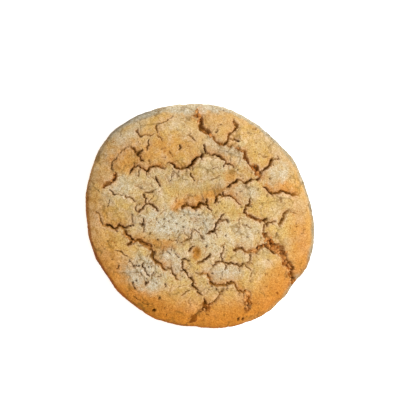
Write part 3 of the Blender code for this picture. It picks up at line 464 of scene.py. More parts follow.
def halved(start, end, draw, step, swing):
    """The points of one torn run after its start."""
    run = (end[0] - start[0], end[1] - start[1])
    if math.hypot(*run) < step:
        return [end]
    side = draw.uniform(-swing, swing)
    middle = (0.5 * (start[0] + end[0]) - side * run[1], 0.5 * (start[1] + end[1]) + side * run[0])
    return halved(start, middle, draw, step, swing) + halved(middle, end, draw, step, swing)


def nearest_on(points, line):
    """For each point: signed distance from the line, positive on its left, share of the way along, and the offset."""
    starts, runs = line[:-1], np.diff(line, axis=0)
    lengths = np.hypot(runs[:, 0], runs[:, 1])
    offsets = points[:, None, :] - starts[None, :, :]
    along = np.clip((offsets * runs).sum(2) / lengths**2, 0.0, 1.0)
    gaps = offsets - along[..., None] * runs
    distance = np.hypot(gaps[..., 0], gaps[..., 1])
    best = distance.argmin(1)
    rows = np.arange(len(points))
    side = np.sign(runs[best, 0] * offsets[rows, best, 1] - runs[best, 1] * offsets[rows, best, 0])
    travelled = np.concatenate(([0.0], np.cumsum(lengths)))
    share = (travelled[best] + along[rows, best] * lengths[best]) / travelled[-1]
    return distance[rows, best] * np.where(side < 0, -1.0, 1.0), share, gaps[rows, best]


def near(points, line, reach):
    """Numbers of the points within reach of the line's box."""
    low, high = line.min(0) - reach, line.max(0) + reach
    return np.flatnonzero(((points > low) & (points < high)).all(1))


def taper(share, run_in=0.14):
    """How far a crack has opened, from 0 at its ends to 1 once it has run in."""
    return np.sin(np.clip(np.minimum(share, 1.0 - share) / run_in, 0.0, 1.0) * math.pi / 2)


def oval_spread(points, east, north, half_length, half_width, turn):
    """The square of how far out each point is in a turned oval, 1 on its edge."""
    c, s = math.cos(math.radians(turn)), math.sin(math.radians(turn))
    x, y = points[:, 0] - east, points[:, 1] - north
    return ((c * x + s * y) / half_length) ** 2 + ((c * y - s * x) / half_width) ** 2


def patch_field(points, patches):
    """The strongest share among soft-edged ovals at each point."""
    field = np.zeros(len(points))
    for *oval, share in patches:
        spread = oval_spread(points, *oval)
        field = np.maximum(field, share * np.exp(-spread * spread * 0.7))
    return field


def swell_height(points):
    """The height of the broad swells at each point."""
    return sum(rise * np.exp(-oval_spread(points, *oval)) for *oval, rise in SWELLS)


def spot_share(points, spot):
    """How far inside a soft upright oval each point is."""
    east, north, half_width, half_length = spot
    return smooth_step(1.15, 0.3, np.hypot((points[:, 0] - east) / half_width, (points[:, 1] - north) / half_length))


def noise_field(places, name):
    """One of the fields of noise at 3-D places, from -1 to 1, each octave finer and weaker than the one before."""
    size, octaves, shift = NOISES[name]
    field = np.zeros(len(places))
    scale, weight, total = 1.0 / size, 1.0, 0.0
    for _ in range(octaves):
        grid = places * scale + shift
        field += weight * np.array([noise.noise(Vector(p)) for p in grid])
        total += weight
        scale, weight, shift = 2.03 * scale, 0.5 * weight, shift + 17.3
    return field / total


def flake_field(places, size, shift):
    """A cracked glaze at 3-D places: how far each is from its flake's edge, 0 to about 1, and the flake's tone."""
    field = np.empty((2, len(places)))
    for number, place in enumerate(places / size + shift):
        point = Vector(place)
        distances, cells = noise.voronoi(point + 0.16 * noise.noise_vector(3.1 * point))
        field[0, number] = distances[1] - distances[0]
        field[1, number] = noise.noise(3.7 * cells[0])
    return field


def torn_field(places, crumb):
    """Where a wide crack shows its crumb: rise of the little lumps, painted shade in the pockets among them, their
    tones.
    """
    rise, pocket, tone = np.zeros((3, len(places)))
    for number in np.flatnonzero(crumb > 0.03):
        point = Vector(places[number] / TORN_LUMP)
        distances, cells = noise.voronoi(point + 0.22 * noise.noise_vector(1.9 * point))
        ball = 1.0 - 1.5 * distances[0]
        rise[number] = crumb[number] * (1.25 * max(ball, -0.2) + 0.4 * noise.noise(2.9 * cells[0]))
        hollow = 1.0 - min(1.0, max(0.0, (ball + 0.30) / 0.40))
        pocket[number] = min(1.0, crumb[number] * hollow * (1.0 + 1.6 * noise.noise(0.9 * point)))
        # The tone is partly random and partly painted light, lighter on the higher lumps.
        tone[number] = min(1.0, max(0.0, 0.42 + 1.3 * noise.noise(5.3 * cells[0]) + 0.4 * ball))
    return rise, np.clip(pocket, 0.0, 0.85), tone


def strewn(draw, reach, evenness):
    """A random spot within reach of the middle, and the more crowded there the higher evenness is."""
    way, bearing = reach * draw.random() ** evenness, draw.uniform(0.0, math.tau)
    return way * math.cos(bearing), way * math.sin(bearing)


def wandering_hairs(draw):
    """Short hair cracks that wander about the crust, most of them over its dry middle, as gap, depth and route."""
    hairs = []
    for _ in range(WANDERING_HAIRS):
        east, north = strewn(draw, 27.0, 0.60)
        spot, heading = Vector((east - 5.0, north - 5.0)), draw.uniform(0.0, math.tau)
        route = [tuple(spot)]
        for _ in range(draw.randint(2, 6)):
            heading += draw.uniform(-0.9, 0.9)
            spot = spot + draw.uniform(0.45, 1.0) * Vector((math.cos(heading), math.sin(heading)))
            route.append(tuple(spot))
        hairs.append((draw.uniform(0.22, 0.36), draw.uniform(0.10, 0.70), route))
    return hairs


def all_cracks():
    """Every crack with its torn line: the named ones, the hairs, and the ticks that split a raised lip."""
    draw = random.Random(SEED)
    cracks = [(crack, torn(crack.route, draw)) for crack in CRACKS]
    for gap, depth, route in wandering_hairs(draw):
        cracks.append((Crack(gap, depth, 0.0, 0.1, 0.0, route), torn(route, draw, swing=0.16)))
    for route in HAIRS:
        cracks.append((Crack(*HAIR, route), torn(route, draw)))
    for crack in CRACKS:
        if crack.lift < 0.4:
            continue
        for before, here, after in zip(crack.route, crack.route[1:], crack.route[2:]):
            turn = (here[0] - before[0]) * (after[1] - here[1]) - (here[1] - before[1]) * (after[0] - here[0])
            if turn > 0.6:
                south = Vector((after[1] - before[1], before[0] - after[0])).normalized()
                length = draw.uniform(0.9, 2.0)
                end = (here[0] + length * south.x + draw.uniform(-0.4, 0.4), here[1] + length * south.y)
                cracks.append((Crack(*TICK, (here, end)), torn((here, end), draw)))
    return cracks


# The points that a crack reaches: their numbers, their way off its torn edge, which are on its left, how far it has
# opened beside them, its half-width there, and how far it is a trough and no mere slit.
Band = namedtuple("Band", "ids off left opened half trough")


class Crust:
    """What the cracks and holes do to the crust: how its points are drawn together, raised, sunk and coloured."""

    def __init__(self, points, on_top):
        self.points, self.on_top = points, on_top
        fields = np.zeros((8, len(points)))
        self.rise, self.groove, self.dark, self.crumb, self.toast, self.brown, self.lip, self.red = fields

    def gather(self, cracks, pull=0.55):
        """Draws points in towards the nearest crack, so that its edges are cut crisply."""
        nearest = np.full(len(self.points), np.inf)
        shift = np.zeros_like(self.points)
        for _, line in cracks:
            ids = near(self.points, line, GATHER_REACH)
            ids = ids[self.on_top[ids]]
            distance, _, gap = nearest_on(self.points[ids], line)
            close = np.abs(distance) < np.minimum(nearest[ids], GATHER_REACH)
            ids, distance, gap = ids[close], np.abs(distance[close]), gap[close]
            nearest[ids] = distance
            shift[ids] = -gap * (pull * (1.0 - distance / GATHER_REACH) ** 2)[:, None]
        self.points = self.points + shift

    def settle(self, bearing, height, crown):
        """Lays the drawn points on the dome again, and notes where they are: heading, share of the radius, place."""
        top = self.on_top
        self.heading = np.where(top, np.arctan2(self.points[:, 1], self.points[:, 0]), bearing)
        share = np.hypot(self.points[:, 0], self.points[:, 1]) / rim_radius(self.heading)
        self.inward = np.where(top, np.minimum(share, 1.0), 1.0)
        self.base = np.column_stack((self.points, np.where(top, dome_height(crown, self.inward), height)))
        # The cracks close up just before the widest line.
        self.open = smooth_step(1.0, 0.965, self.inward) * top

    def cut(self, cracks, depth_share, shelf_share):
        """Adds each crack's banks, groove and colours."""
        places = np.column_stack((self.points, np.full(len(self.points), 3.0)))
        wander = np.maximum(0.82 + 1.1 * noise_field(places, "gap") + 0.3 * noise_field(places, "fine gap"), 0.35)
        fray = 0.22 * noise_field(places, "fray") + 0.12 * noise_field(places, "fine fray")
        depths = np.clip(0.75 + 1.5 * noise_field(places, "crack depth"), 0.20, 1.15)
        for crack, line in cracks:
            ids = near(self.points, line, BANK_REACH if crack.lift else HAIR_REACH)
            distance, share, _ = nearest_on(self.points[ids], line)
            opened = taper(share)
            half = np.maximum(0.43 * crack.gap * wander[ids] * (0.35 + 0.65 * opened), 0.05)
            trough = smooth_step(1.0, 2.0, crack.gap)
            band = Band(ids, np.abs(distance + fray[ids]), distance > 0, opened, half, trough)
            self.raise_banks(crack, band, shelf_share)
            self.dig(crack, band, depth_share, depths[ids])
            self.bake(crack, band)

    def keep(self, field, band, values):
        """Keeps the stronger of what a field says and the new values."""
        field[band.ids] = np.maximum(field[band.ids], values)

    def raise_banks(self, crack, band, shelf_share):
        """Sinks the left bank and raises the right one, rounds off both, lifts the thin lips and paints a highlight
        on them.
        """
        ids, off, left, opened, half, trough = band
        high, low = shelf_share * 0.55 * crack.lift, shelf_share * 1.15 * crack.lift
        self.rise[ids] += opened * np.where(left, -low * np.exp(-((off / 3.2) ** 1.5)), high * np.exp(-off / 2.4))
        crisp = opened * min(1.0, crack.gap / 0.7) * bell(off - half - 0.30, 0.22)
        rounding = opened * min(1.0, crack.gap / 0.9) * bell(off, half + 0.55)
        self.rise[ids] += 0.09 * crisp * (1.0 - trough) - 0.22 * rounding
        # A painted highlight on the right bank's lip and on both crisp rims, partly the lips' own paler colour.
        lip = opened * min(1.0, max(0.0, crack.lift)) * np.where(left, 0.0, bell(off - half - 0.35, 0.7))
        self.keep(self.lip, band, np.maximum(0.8 * lip, 0.9 * crisp))

    def dig(self, crack, band, depth_share, depths):
        """Sinks the groove, strews a wide one with crumb, paints shade in the depth of a thin one and a shadow along
        a wide one's edges.
        """
        ids, off, left, opened, half, trough = band
        slit = (1.0 - trough) * np.clip(1.0 - (off / half) ** 2, 0.0, 1.0)
        inside = slit + trough * smooth_step(half, 0.6 * half, off)
        self.keep(self.groove, band, depth_share * crack.depth * opened * inside)
        self.keep(self.crumb, band, crack.crumb * opened * smooth_step(half * 1.2, half * 0.8, off))
        dark = smooth_step(half * 0.98, half * 0.25, off) * np.clip(0.25 + 0.75 * opened, 0, 1)
        dark *= min(1.0, 0.35 + 0.50 * crack.depth) * (1.0 - crack.crumb) * depths
        shadow = 0.40 * crack.crumb * trough * opened * bell(off - 0.92 * half, 0.26)
        self.keep(self.dark, band, np.maximum(dark, shadow))

    def bake(self, crack, band):
        """Toasts the left bank and browns the crack's edge with a fainter halo, both partly as painted warm shade."""
        ids, off, left, opened, half, trough = band
        toast = crack.browning * opened * np.where(left, np.exp(-((off / 2.6) ** 1.3)), np.exp(-off / 0.45))
        self.keep(self.toast, band, toast)
        brown = min(0.90, 1.05 * crack.gap) * opened * bell(off, half + 0.14)
        halo = min(0.20, 0.25 * crack.gap) * opened * bell(off, half + 0.65)
        self.keep(self.brown, band, np.maximum(brown, halo))

    def pierce(self):
        """Adds every pore, pit and hole."""
        draw = random.Random(SEED)
        self.prick([(east, north, draw.uniform(0.26, 0.44)) for east, north in PORES], 0.8)
        self.prick(PITS, 0.9, ragged=0.9)
        self.prick(RED_HOLES, 0.5, ragged=0.9, red=0.95)
        scattered = [(*strewn(draw, 38.5, 0.75), draw.uniform(0.16, 0.32)) for _ in range(SCATTERED_PORES)]
        self.prick(scattered, 0.30)

    def prick(self, spots, depth, ragged=0.0, red=0.0):
        """Adds small holes, each stretched its own way, with painted shade in them, and shows the crumb in the red
        ones.
        """
        draw = random.Random(SEED + 2)
        flat = np.column_stack((self.points, np.zeros(len(self.points))))
        ripple = ragged * noise_field(flat, "ragged hole") if ragged else 0.0
        for east, north, radius in spots:
            turn, stretch = draw.uniform(0.0, math.pi), draw.uniform(1.0, 1.5)
            x, y = self.points[:, 0] - east, self.points[:, 1] - north
            along, across = math.cos(turn) * x + math.sin(turn) * y, math.cos(turn) * y - math.sin(turn) * x
            off = np.hypot(along / stretch, across * stretch) * (1.0 + ripple)
            inside = np.clip(1.0 - (off / radius) ** 2, 0.0, 1.0)
            self.groove = np.maximum(self.groove, depth * inside * self.on_top)
            hole = smooth_step(radius * 1.3, radius * 0.4, off) * self.on_top
            self.dark = np.maximum(self.dark, 0.9 * (1.0 - 0.70 * red) * hole)
            self.crumb = np.maximum(self.crumb, red * smooth_step(0.1, 0.6, hole))
            self.red = np.maximum(self.red, red * smooth_step(0.0, 0.4, hole))

    def relief(self, shape):
        """How far the crust stands out along its normal, in millimetres, noting its seams and tones on the way."""
        base = self.base
        lumps = shape.lump_height / MM * (noise_field(base, "lumps") + 0.55 * noise_field(base, "small lumps"))
        grain = shape.grain_height / MM * (noise_field(base, "grain") + 0.8 * noise_field(base, "fine grain"))
        edge, tone = flake_field(base, *FLAKES)
        plate_edge, plate_tone = flake_field(base, *PLATES)
        hair = 0.7 * (smooth_step(0.10, 0.0, plate_edge) * smooth_step(-0.02, 0.16, noise_field(base, "hair lines")))
        crackle = 0.22 * smooth_step(0.06, 0.30, noise_field(base, "crackle"))
        self.seam = np.clip(np.maximum(crackle * smooth_step(0.15, 0.0, edge), hair), 0.0, 1.0)
        flakes = shape.flake_height / MM * (smooth_step(0.0, 0.34, edge) + 0.9 * tone - 2.6 * hair)
        torn_floor, pocket, crumb_tone = torn_field(base, self.crumb)
        self.dark = np.maximum(self.dark, pocket)
        self.tone = np.where(self.crumb > 0.3, crumb_tone * (0.35 + 0.65 * self.crumb) * (1.0 - self.red),
                             0.5 + 0.6 * tone + 0.4 * plate_tone)
        swells = (swell_height(self.points) + self.rise) * (smooth_step(1.0, 0.90, self.inward) * self.on_top)
        relief = swells + lumps + grain + flakes * self.on_top * self.open - self.groove * self.open + torn_floor
        return relief * np.clip(base[:, 2] / FOOT, 0.0, 1.0)

    def colours(self):
        """The fields that the materials read, by name."""
        plan, base, top = self.points, self.base, self.on_top
        uneven = plan + 3.0 * np.column_stack((noise_field(base, "patches east"), noise_field(base, "patches north")))
        caramel = spot_share(plan, CARAMEL_SPOT) * top
        toast = np.maximum(self.toast * self.open, patch_field(uneven, TOASTED) * top)
        dusty, shaded, shade_warmth = rim_edge(base, self.inward, top)
        streaks = 0.45 * smooth_step(0.02, 0.34, noise_field(base, "wall streaks"))
        streaks = streaks * smooth_step(0.70, 0.86, self.inward) * shade_warmth * top
        brown = np.maximum(self.brown * self.open, 0.42 * caramel)
        smooth = 1.0 - 0.75 * spot_share(plan, SMOOTH_SPOT)
        burnt = 0.62 * spot_share(plan, BURNT_SPOT) * top
        patch_shading = (patch_field(uneven, PAINTED_SHADE_PATCHES) - patch_field(uneven, PAINTED_LIGHT_PATCHES)) * top
        return {
            "amber": np.clip(rim_toast(base, self.inward), 0.0, 1.0),
            "toast": np.clip(np.maximum(toast, 0.92 * caramel), 0.0, 1.0),
            "pale": np.maximum(patch_field(uneven, PALE) * top, dusty),
            "lip": self.lip * top,
            "brown": np.maximum(brown, streaks),
            "tone": np.clip(self.tone, 0.0, 1.0),
            "seam": smooth * self.seam * top,
            "dark": np.clip(np.maximum(self.dark * self.open, burnt), 0.0, 1.0),
            # Painted shade on the rim's edge and over patches; where it is below nought it is painted light.
            "shade": 1.0 - (1.0 - shaded) * (1.0 - patch_shading),
            "shade_warmth": shade_warmth,
            "crumb": self.crumb * self.open,
            "tray": smooth_step(3.2, 0.2, base[:, 2]) * (1.0 - top),
            "dry": np.clip(patch_field(plan, DRY), 0.0, 1.0) * top,
        }


def rim_toast(points, inward):
    """How toasted the rim is: most at its edge, and fading inwards."""
    bearing = np.degrees(np.arctan2(points[:, 1], points[:, 0])) % 360.0
    angles, shares, reaches = zip(*RIM_TOAST)
    share, reach = np.interp(bearing, angles, shares), np.interp(bearing, angles, reaches)
    return share * smooth_step(1.0 - reach, 0.99, inward)


def rim_edge(points, inward, on_top):
    """The rim edge's dust, and how far and how brown painted shade darkens it, streaked along the rim and faded down
    the wall.
    """
    bearing, height = np.arctan2(points[:, 1], points[:, 0]) % math.tau, points[:, 2]
    angles, *columns = (np.array(column) for column in zip(*RIM_EDGE))
    pale, band, edge, shade_warmth = (np.interp(np.degrees(bearing), angles, column) for column in columns)
    streaks = np.column_stack((MEAN_RADIUS * bearing / 3.2, 60.0 * inward, height))
    patchy = np.clip(0.95 + (0.5 + 1.0 * shade_warmth) * noise_field(streaks, "rim streaks"), 0.1, 1.6)
    drift = noise_field(points, "dust line")
    wide = smooth_step(0.925, 0.980, inward + 0.025 * drift)
    narrow = np.where(on_top, smooth_step(0.974, 0.992, inward), 1.0)
    shaded = np.clip(band * wide * patchy + edge * narrow * (0.6 + 0.4 * patchy), -0.2, 0.85)
    dusted = np.where(on_top, 1.0, smooth_step(0.4, 4.2, height + 2.5 * drift))
    upper = np.where(on_top, 1.0, smooth_step(2.2 - 0.8 * shade_warmth, 4.0 - 0.6 * shade_warmth, height))
    return pale * wide * dusted, shaded * upper, shade_warmth


# ---------------------------------------------------------------- meshes

HEX_SIDES = 6
# How the hexagons are subdivided, in goes, and the cuts that bring the underside's edge up to the wall's.
TOP_CUTS, TRAY_CUTS, TRAY_EDGE_CUTS = (11, 12), (5, 12), 1


def deselect_all():
    if bpy.context.object and bpy.context.object.mode != "OBJECT":
        bpy.ops.object.mode_set(mode="OBJECT")
    bpy.ops.object.select_all(action="DESELECT")


def select_open_edge():
    bpy.ops.mesh.select_mode(type="EDGE")
    bpy.ops.mesh.select_all(action="DESELECT")
    bpy.ops.mesh.select_non_manifold(extend=False, use_wire=False, use_boundary=True, use_multi_face=False,
                                     use_non_contiguous=False, use_verts=False)


def hexagon(name, cuts, edge_cuts=0):
    """A flat hexagon of even triangles, subdivided in goes, its open edge once more if that has to match."""
    deselect_all()
    bpy.ops.mesh.primitive_circle_add(vertices=HEX_SIDES, radius=1.0, fill_type="TRIFAN")
    piece = bpy.context.object
    piece.name = piece.data.name = name
    bpy.ops.object.mode_set(mode="EDIT")
    bpy.ops.mesh.select_all(action="SELECT")
    for number_cuts in cuts:
        bpy.ops.mesh.subdivide(number_cuts=number_cuts)
    if edge_cuts:
        select_open_edge()
        bpy.ops.mesh.subdivide(number_cuts=edge_cuts)
    bpy.ops.object.mode_set(mode="OBJECT")
    return piece


def hex_polar(mesh):
    """Which ring of the hexagon each point is on, 0 to 1, and the bearing that spreads each ring evenly."""
    flat = np.empty(3 * len(mesh.vertices), dtype=np.float32)
    mesh.vertices.foreach_get("co", flat)
    east, north, _ = flat.reshape(-1, 3).astype(float).T
    corner, bearing, reach = math.tau / HEX_SIDES, np.arctan2(north, east) % math.tau, np.hypot(east, north)
    farthest = reach.argmax()
    first = math.atan2(north[farthest], east[farthest]) % corner
    turned = (bearing - first) % math.tau
    sector = np.floor(turned / corner + 1e-9)
    within = turned - sector * corner - 0.5 * corner
    ring = reach * np.cos(within) / math.cos(0.5 * corner)
    along = 0.5 * (1.0 + np.tan(within) / math.tan(0.5 * corner))
    return ring, first + (sector + along) * corner


def write_points(mesh, points):
    mesh.vertices.foreach_set("co", np.ascontiguousarray(points, dtype=np.float32).ravel())
    mesh.update()


def add_fields(mesh, fields):
    for name, values in fields.items():
        attribute = mesh.attributes.new(name, "FLOAT", "POINT")
        attribute.data.foreach_set("value", np.ascontiguousarray(values, dtype=np.float32))


def shape_top(piece, shape):
    """Bends the hexagon over the dome and down the wall, and gives it its cracks, its relief and its colours."""
    crown = shape.crown_height / MM
    ring, bearing = hex_polar(piece.data)
    travelled, *columns = section(crown)
    share, tuck, height, out, up = (np.interp(ring, travelled, column) for column in columns)
    crust, cracks = Crust(plan_at(share * rim_radius(bearing) - tuck, bearing), tuck <= 0.0), all_cracks()
    crust.gather(cracks)
    crust.settle(bearing, height, crown)
    crust.cut(cracks, shape.crack_depth, shape.shelf_height)
    crust.pierce()
    relief, size = crust.relief(shape), np.hypot(out, up)
    outwards = out / size * relief
    spot = np.column_stack((
        crust.base[:, 0] + outwards * np.cos(crust.heading) + PLAN_MIDDLE[0],
        crust.base[:, 1] + outwards * np.sin(crust.heading) + PLAN_MIDDLE[1],
        crust.base[:, 2] + up / size * relief,
    ))
    write_points(piece.data, spot * MM)
    add_fields(piece.data, crust.colours())


def shape_tray_side(piece):
    """Spreads a hexagon over the flat underside, with small pores baked into it."""
    ring, bearing = hex_polar(piece.data)
    plan = plan_at(ring * (rim_radius(bearing) - WALL_TUCK), bearing)
    base = np.column_stack((plan, np.zeros(len(plan))))
    pores = np.clip(noise_field(base, "tray pores") - 0.22, 0.0, 1.0) * 1.3 * smooth_step(1.0, 0.9, ring)
    write_points(piece.data, np.column_stack((plan + PLAN_MIDDLE, pores)) * MM)
    names = ("toast", "pale", "lip", "crumb", "seam", "amber", "dry", "brown", "shade", "shade_warmth")
    fields = dict.fromkeys(names, np.zeros(len(plan)))
    # The pores' dark is painted shade in their hollows.
    fields.update(tone=np.full(len(plan), 0.5), dark=np.clip(pores * 2.5, 0.0, 0.8), tray=np.ones(len(plan)))
    add_fields(piece.data, fields)


def sew_tray_to_wall(top, tray):
    """Joins the underside to the foot of the wall and turns every face outwards."""
    deselect_all()
    tray.select_set(True)
    top.select_set(True)
    bpy.context.view_layer.objects.active = top
    bpy.ops.object.join()
    bpy.ops.object.mode_set(mode="EDIT")
    select_open_edge()
    bpy.ops.mesh.select_mode(type="VERT")
    bpy.ops.mesh.remove_doubles(threshold=0.01 * MM)
    bpy.ops.mesh.select_all(action="SELECT")
    bpy.ops.mesh.quads_convert_to_tris()
    bpy.ops.mesh.normals_make_consistent(inside=False)
    bpy.ops.object.mode_set(mode="OBJECT")
    bpy.ops.object.shade_smooth()
    return top


def strewn_crumbs(crust):
    """Places for crumbs in the wide cracks, as (place, radius, tone), found by dropping them on the crust."""
    draw = random.Random(SEED + 1)
    places, down = [], Vector((0.0, 0.0, -1.0))
    for crack, line in all_cracks():
        if crack.crumb < 0.4:
            continue
        for start, end in zip(line, line[1:]):
            part, side = draw.random(), draw.uniform(-0.42, 0.42) * crack.gap
            run = end - start
            spot = start + part * run + side * np.array((-run[1], run[0])) / np.hypot(*run)
            radius, tone = draw.uniform(0.34, 0.80) * min(1.5, 0.5 + 0.42 * crack.gap), 0.8 * draw.random()
            if draw.random() > (0.50 if crack.gap > 1.8 else 0.22) * crack.crumb:
                continue
            hit, place, _, _ = crust.ray_cast(Vector((*(spot + PLAN_MIDDLE), 30.0)) * MM, down)
            if hit:
                places.append((place - Vector((0.0, 0.0, 0.45 * radius * MM)), radius * MM, tone))
    return places


def lump(number, place, radius, tone):
    """One crumb: a small ball, squeezed and knocked out of round."""
    draw = random.Random(f"{SEED} crumb {number}")
    bpy.ops.mesh.primitive_ico_sphere_add(subdivisions=1, radius=radius)
    piece = bpy.context.object
    for vert in piece.data.vertices:
        vert.co *= draw.uniform(0.70, 1.25)
    turn = Matrix.Rotation(draw.uniform(0.0, math.tau), 4, Vector((draw.random(), draw.random(), 1.0)))
    squeeze = Matrix.Diagonal((draw.uniform(0.8, 1.3), draw.uniform(0.7, 1.1), draw.uniform(0.6, 0.9), 1.0))
    piece.data.transform(Matrix.Translation(place) @ turn @ squeeze)
    add_fields(piece.data, {"tone": np.full(len(piece.data.vertices), tone)})
    return piece


# ---------------------------------------------------------------- materials

class Board:
    """Short names for placing and joining the nodes of one material or group."""

    def __init__(self, tree):
        self.tree = tree

    def link(self, source, target):
        self.tree.links.new(source, target)

    def node(self, kind, inputs=None, **settings):
        made = self.tree.nodes.new(kind)
        for key, value in settings.items():
            setattr(made, key, value)
        for key, value in (inputs or {}).items():
            if isinstance(value, bpy.types.NodeSocket):
                self.link(value, made.inputs[key])
            else:
                made.inputs[key].default_value = value
        return made

    def field(self, name):
        return self.node("ShaderNodeAttribute", attribute_name=name, attribute_type="GEOMETRY").outputs["Fac"]

    def place(self):
        return self.node("ShaderNodeTexCoord").outputs["Object"]

    def grain(self, place, size, detail=2.0, roughness=0.55):
        """Noise from 0 to 1 with features of a size in metres."""
        inputs = {"Vector": place, "Scale": 1.0 / size, "Detail": detail, "Roughness": roughness}
        return self.node("ShaderNodeTexNoise", inputs).outputs["Fac"]

    def spread(self, value, low, high, to_low=0.0, to_high=1.0):
        """Runs smoothly from to_low where value is low to to_high where it is high."""
        inputs = {"Value": value, "From Min": low, "From Max": high, "To Min": to_low, "To Max": to_high}
        return self.node("ShaderNodeMapRange", inputs, interpolation_type="SMOOTHSTEP").outputs["Result"]

    def math(self, operation, first, second):
        return self.node("ShaderNodeMath", {0: first, 1: second}, operation=operation).outputs["Value"]

    def times(self, first, second):
        return self.math("MULTIPLY", first, second)

    def rgb(self, red, green, blue):
        return self.node("ShaderNodeCombineColor", {"Red": red, "Green": green, "Blue": blue}).outputs["Color"]

    def warm_grey(self, value):
        """A grey for multiplying with that browns what it darkens."""
        return self.rgb(self.math("POWER", value, 0.72), value, self.math("POWER", value, 1.6))

    def mix(self, share, first, second, blend_type="MIX"):
        inputs = {0: share, 6: first, 7: second}
        return self.node("ShaderNodeMix", inputs, data_type="RGBA", blend_type=blend_type).outputs[2]

    def finish(self, shader, colour, strength, distance, height):
        """Feeds the shader its colour and a bump."""
        self.link(colour, shader.inputs["Base Color"])
        bump = self.node("ShaderNodeBump", {"Strength": strength, "Distance": distance, "Height": height})
        self.link(bump.outputs["Normal"], shader.inputs["Normal"])


def new_material(name, roughness, gloss):
    """A material with its board and its shader, of a given roughness and gloss."""
    material = bpy.data.materials.new(name)
    material.use_nodes = True
    shader = material.node_tree.nodes["Principled BSDF"]
    shader.inputs["Roughness"].default_value = roughness
    shader.inputs["Specular IOR Level"].default_value = gloss
    return material, Board(material.node_tree), shader


def oven_grain():
    """The group of flour and sugar grain that crust and crumb share: its flecks, its shade and its height."""
    if "oven_grain" in bpy.data.node_groups:
        return bpy.data.node_groups["oven_grain"]
    group = bpy.data.node_groups.new("oven_grain", "ShaderNodeTree")
    group.interface.new_socket(name="Place", in_out="INPUT", socket_type="NodeSocketVector")
    strength = group.interface.new_socket(name="Contrast", in_out="INPUT", socket_type="NodeSocketFloat")
    strength.default_value = 1.0
    for name, kind in (("Fleck", "Float"), ("Shade", "Color"), ("Height", "Float")):
        group.interface.new_socket(name=name, in_out="OUTPUT", socket_type="NodeSocket" + kind)
    board = Board(group)
    given, made = board.node("NodeGroupInput"), board.node("NodeGroupOutput")
    fleck = board.grain(given.outputs["Place"], FLECK, 3.0, 0.65)
    dust = board.grain(given.outputs["Place"], DUST, 2.0, 0.6)
    shade = board.times(board.spread(fleck, 0.30, 0.70, 0.93, 1.07), board.spread(dust, 0.34, 0.66, 0.74, 1.26))
    shade = board.math("ADD", 1.0, board.times(given.outputs["Contrast"], board.math("SUBTRACT", shade, 1.0)))
    board.link(fleck, made.inputs["Fleck"])
    board.link(board.warm_grey(shade), made.inputs["Shade"])
    board.link(board.math("ADD", fleck, board.times(dust, 0.5)), made.inputs["Height"])
    return group


def sugar_sparkle(board, place):
    """Single pale grains of flour and sugar, strewn thinly."""
    return board.spread(board.grain(place, SUGAR, 1.0, 0.5), 0.60, 0.72, 0.0, 0.20)


def fine_cracks(board, place):
    """Short straight hair cracks between small plates, and pinholes, both in scattered patches."""
    warp = board.node("ShaderNodeTexNoise", {"Vector": place, "Scale": 1.0 / WARP, "Detail": 1.0}).outputs["Color"]
    ragged = board.node("ShaderNodeVectorMath", {0: warp, 1: (0.0005, 0.0005, 0.0005)}, operation="MULTIPLY")
    moved = board.node("ShaderNodeVectorMath", {0: place, 1: ragged.outputs[0]}, operation="ADD").outputs[0]
    plates = board.node("ShaderNodeTexVoronoi", {"Vector": moved, "Scale": 1.0 / PLATE}, feature="DISTANCE_TO_EDGE")
    line = board.spread(plates.outputs["Distance"], 0.016, 0.044, 1.0, 0.0)
    line = board.times(line, board.spread(board.grain(place, HAIR_PATCH, 1.0, 0.5), 0.54, 0.64, 0.0, 0.85))
    cells = board.node("ShaderNodeTexVoronoi", {"Vector": place, "Scale": 1.0 / PINHOLE})
    hole = board.spread(cells.outputs["Distance"], 0.09, 0.17, 1.0, 0.0)
    hole = board.times(hole, board.math("GREATER_THAN", cells.outputs["Color"], 0.66))
    return board.times(board.math("MAXIMUM", line, board.times(hole, 0.75)), board.field("dry"))


def shaded_light(board):
    """A colour for multiplying with that lays the painted shade on the crust, and browns that shade by its warmth."""
    lit, shade_warmth = board.math("SUBTRACT", 1.0, board.field("shade")), board.field("shade_warmth")
    return board.rgb(*(board.math("POWER", lit, board.spread(shade_warmth, 0.0, 1.0, 1.0, power))
                       for power in (0.75, 1.15, 1.70)))


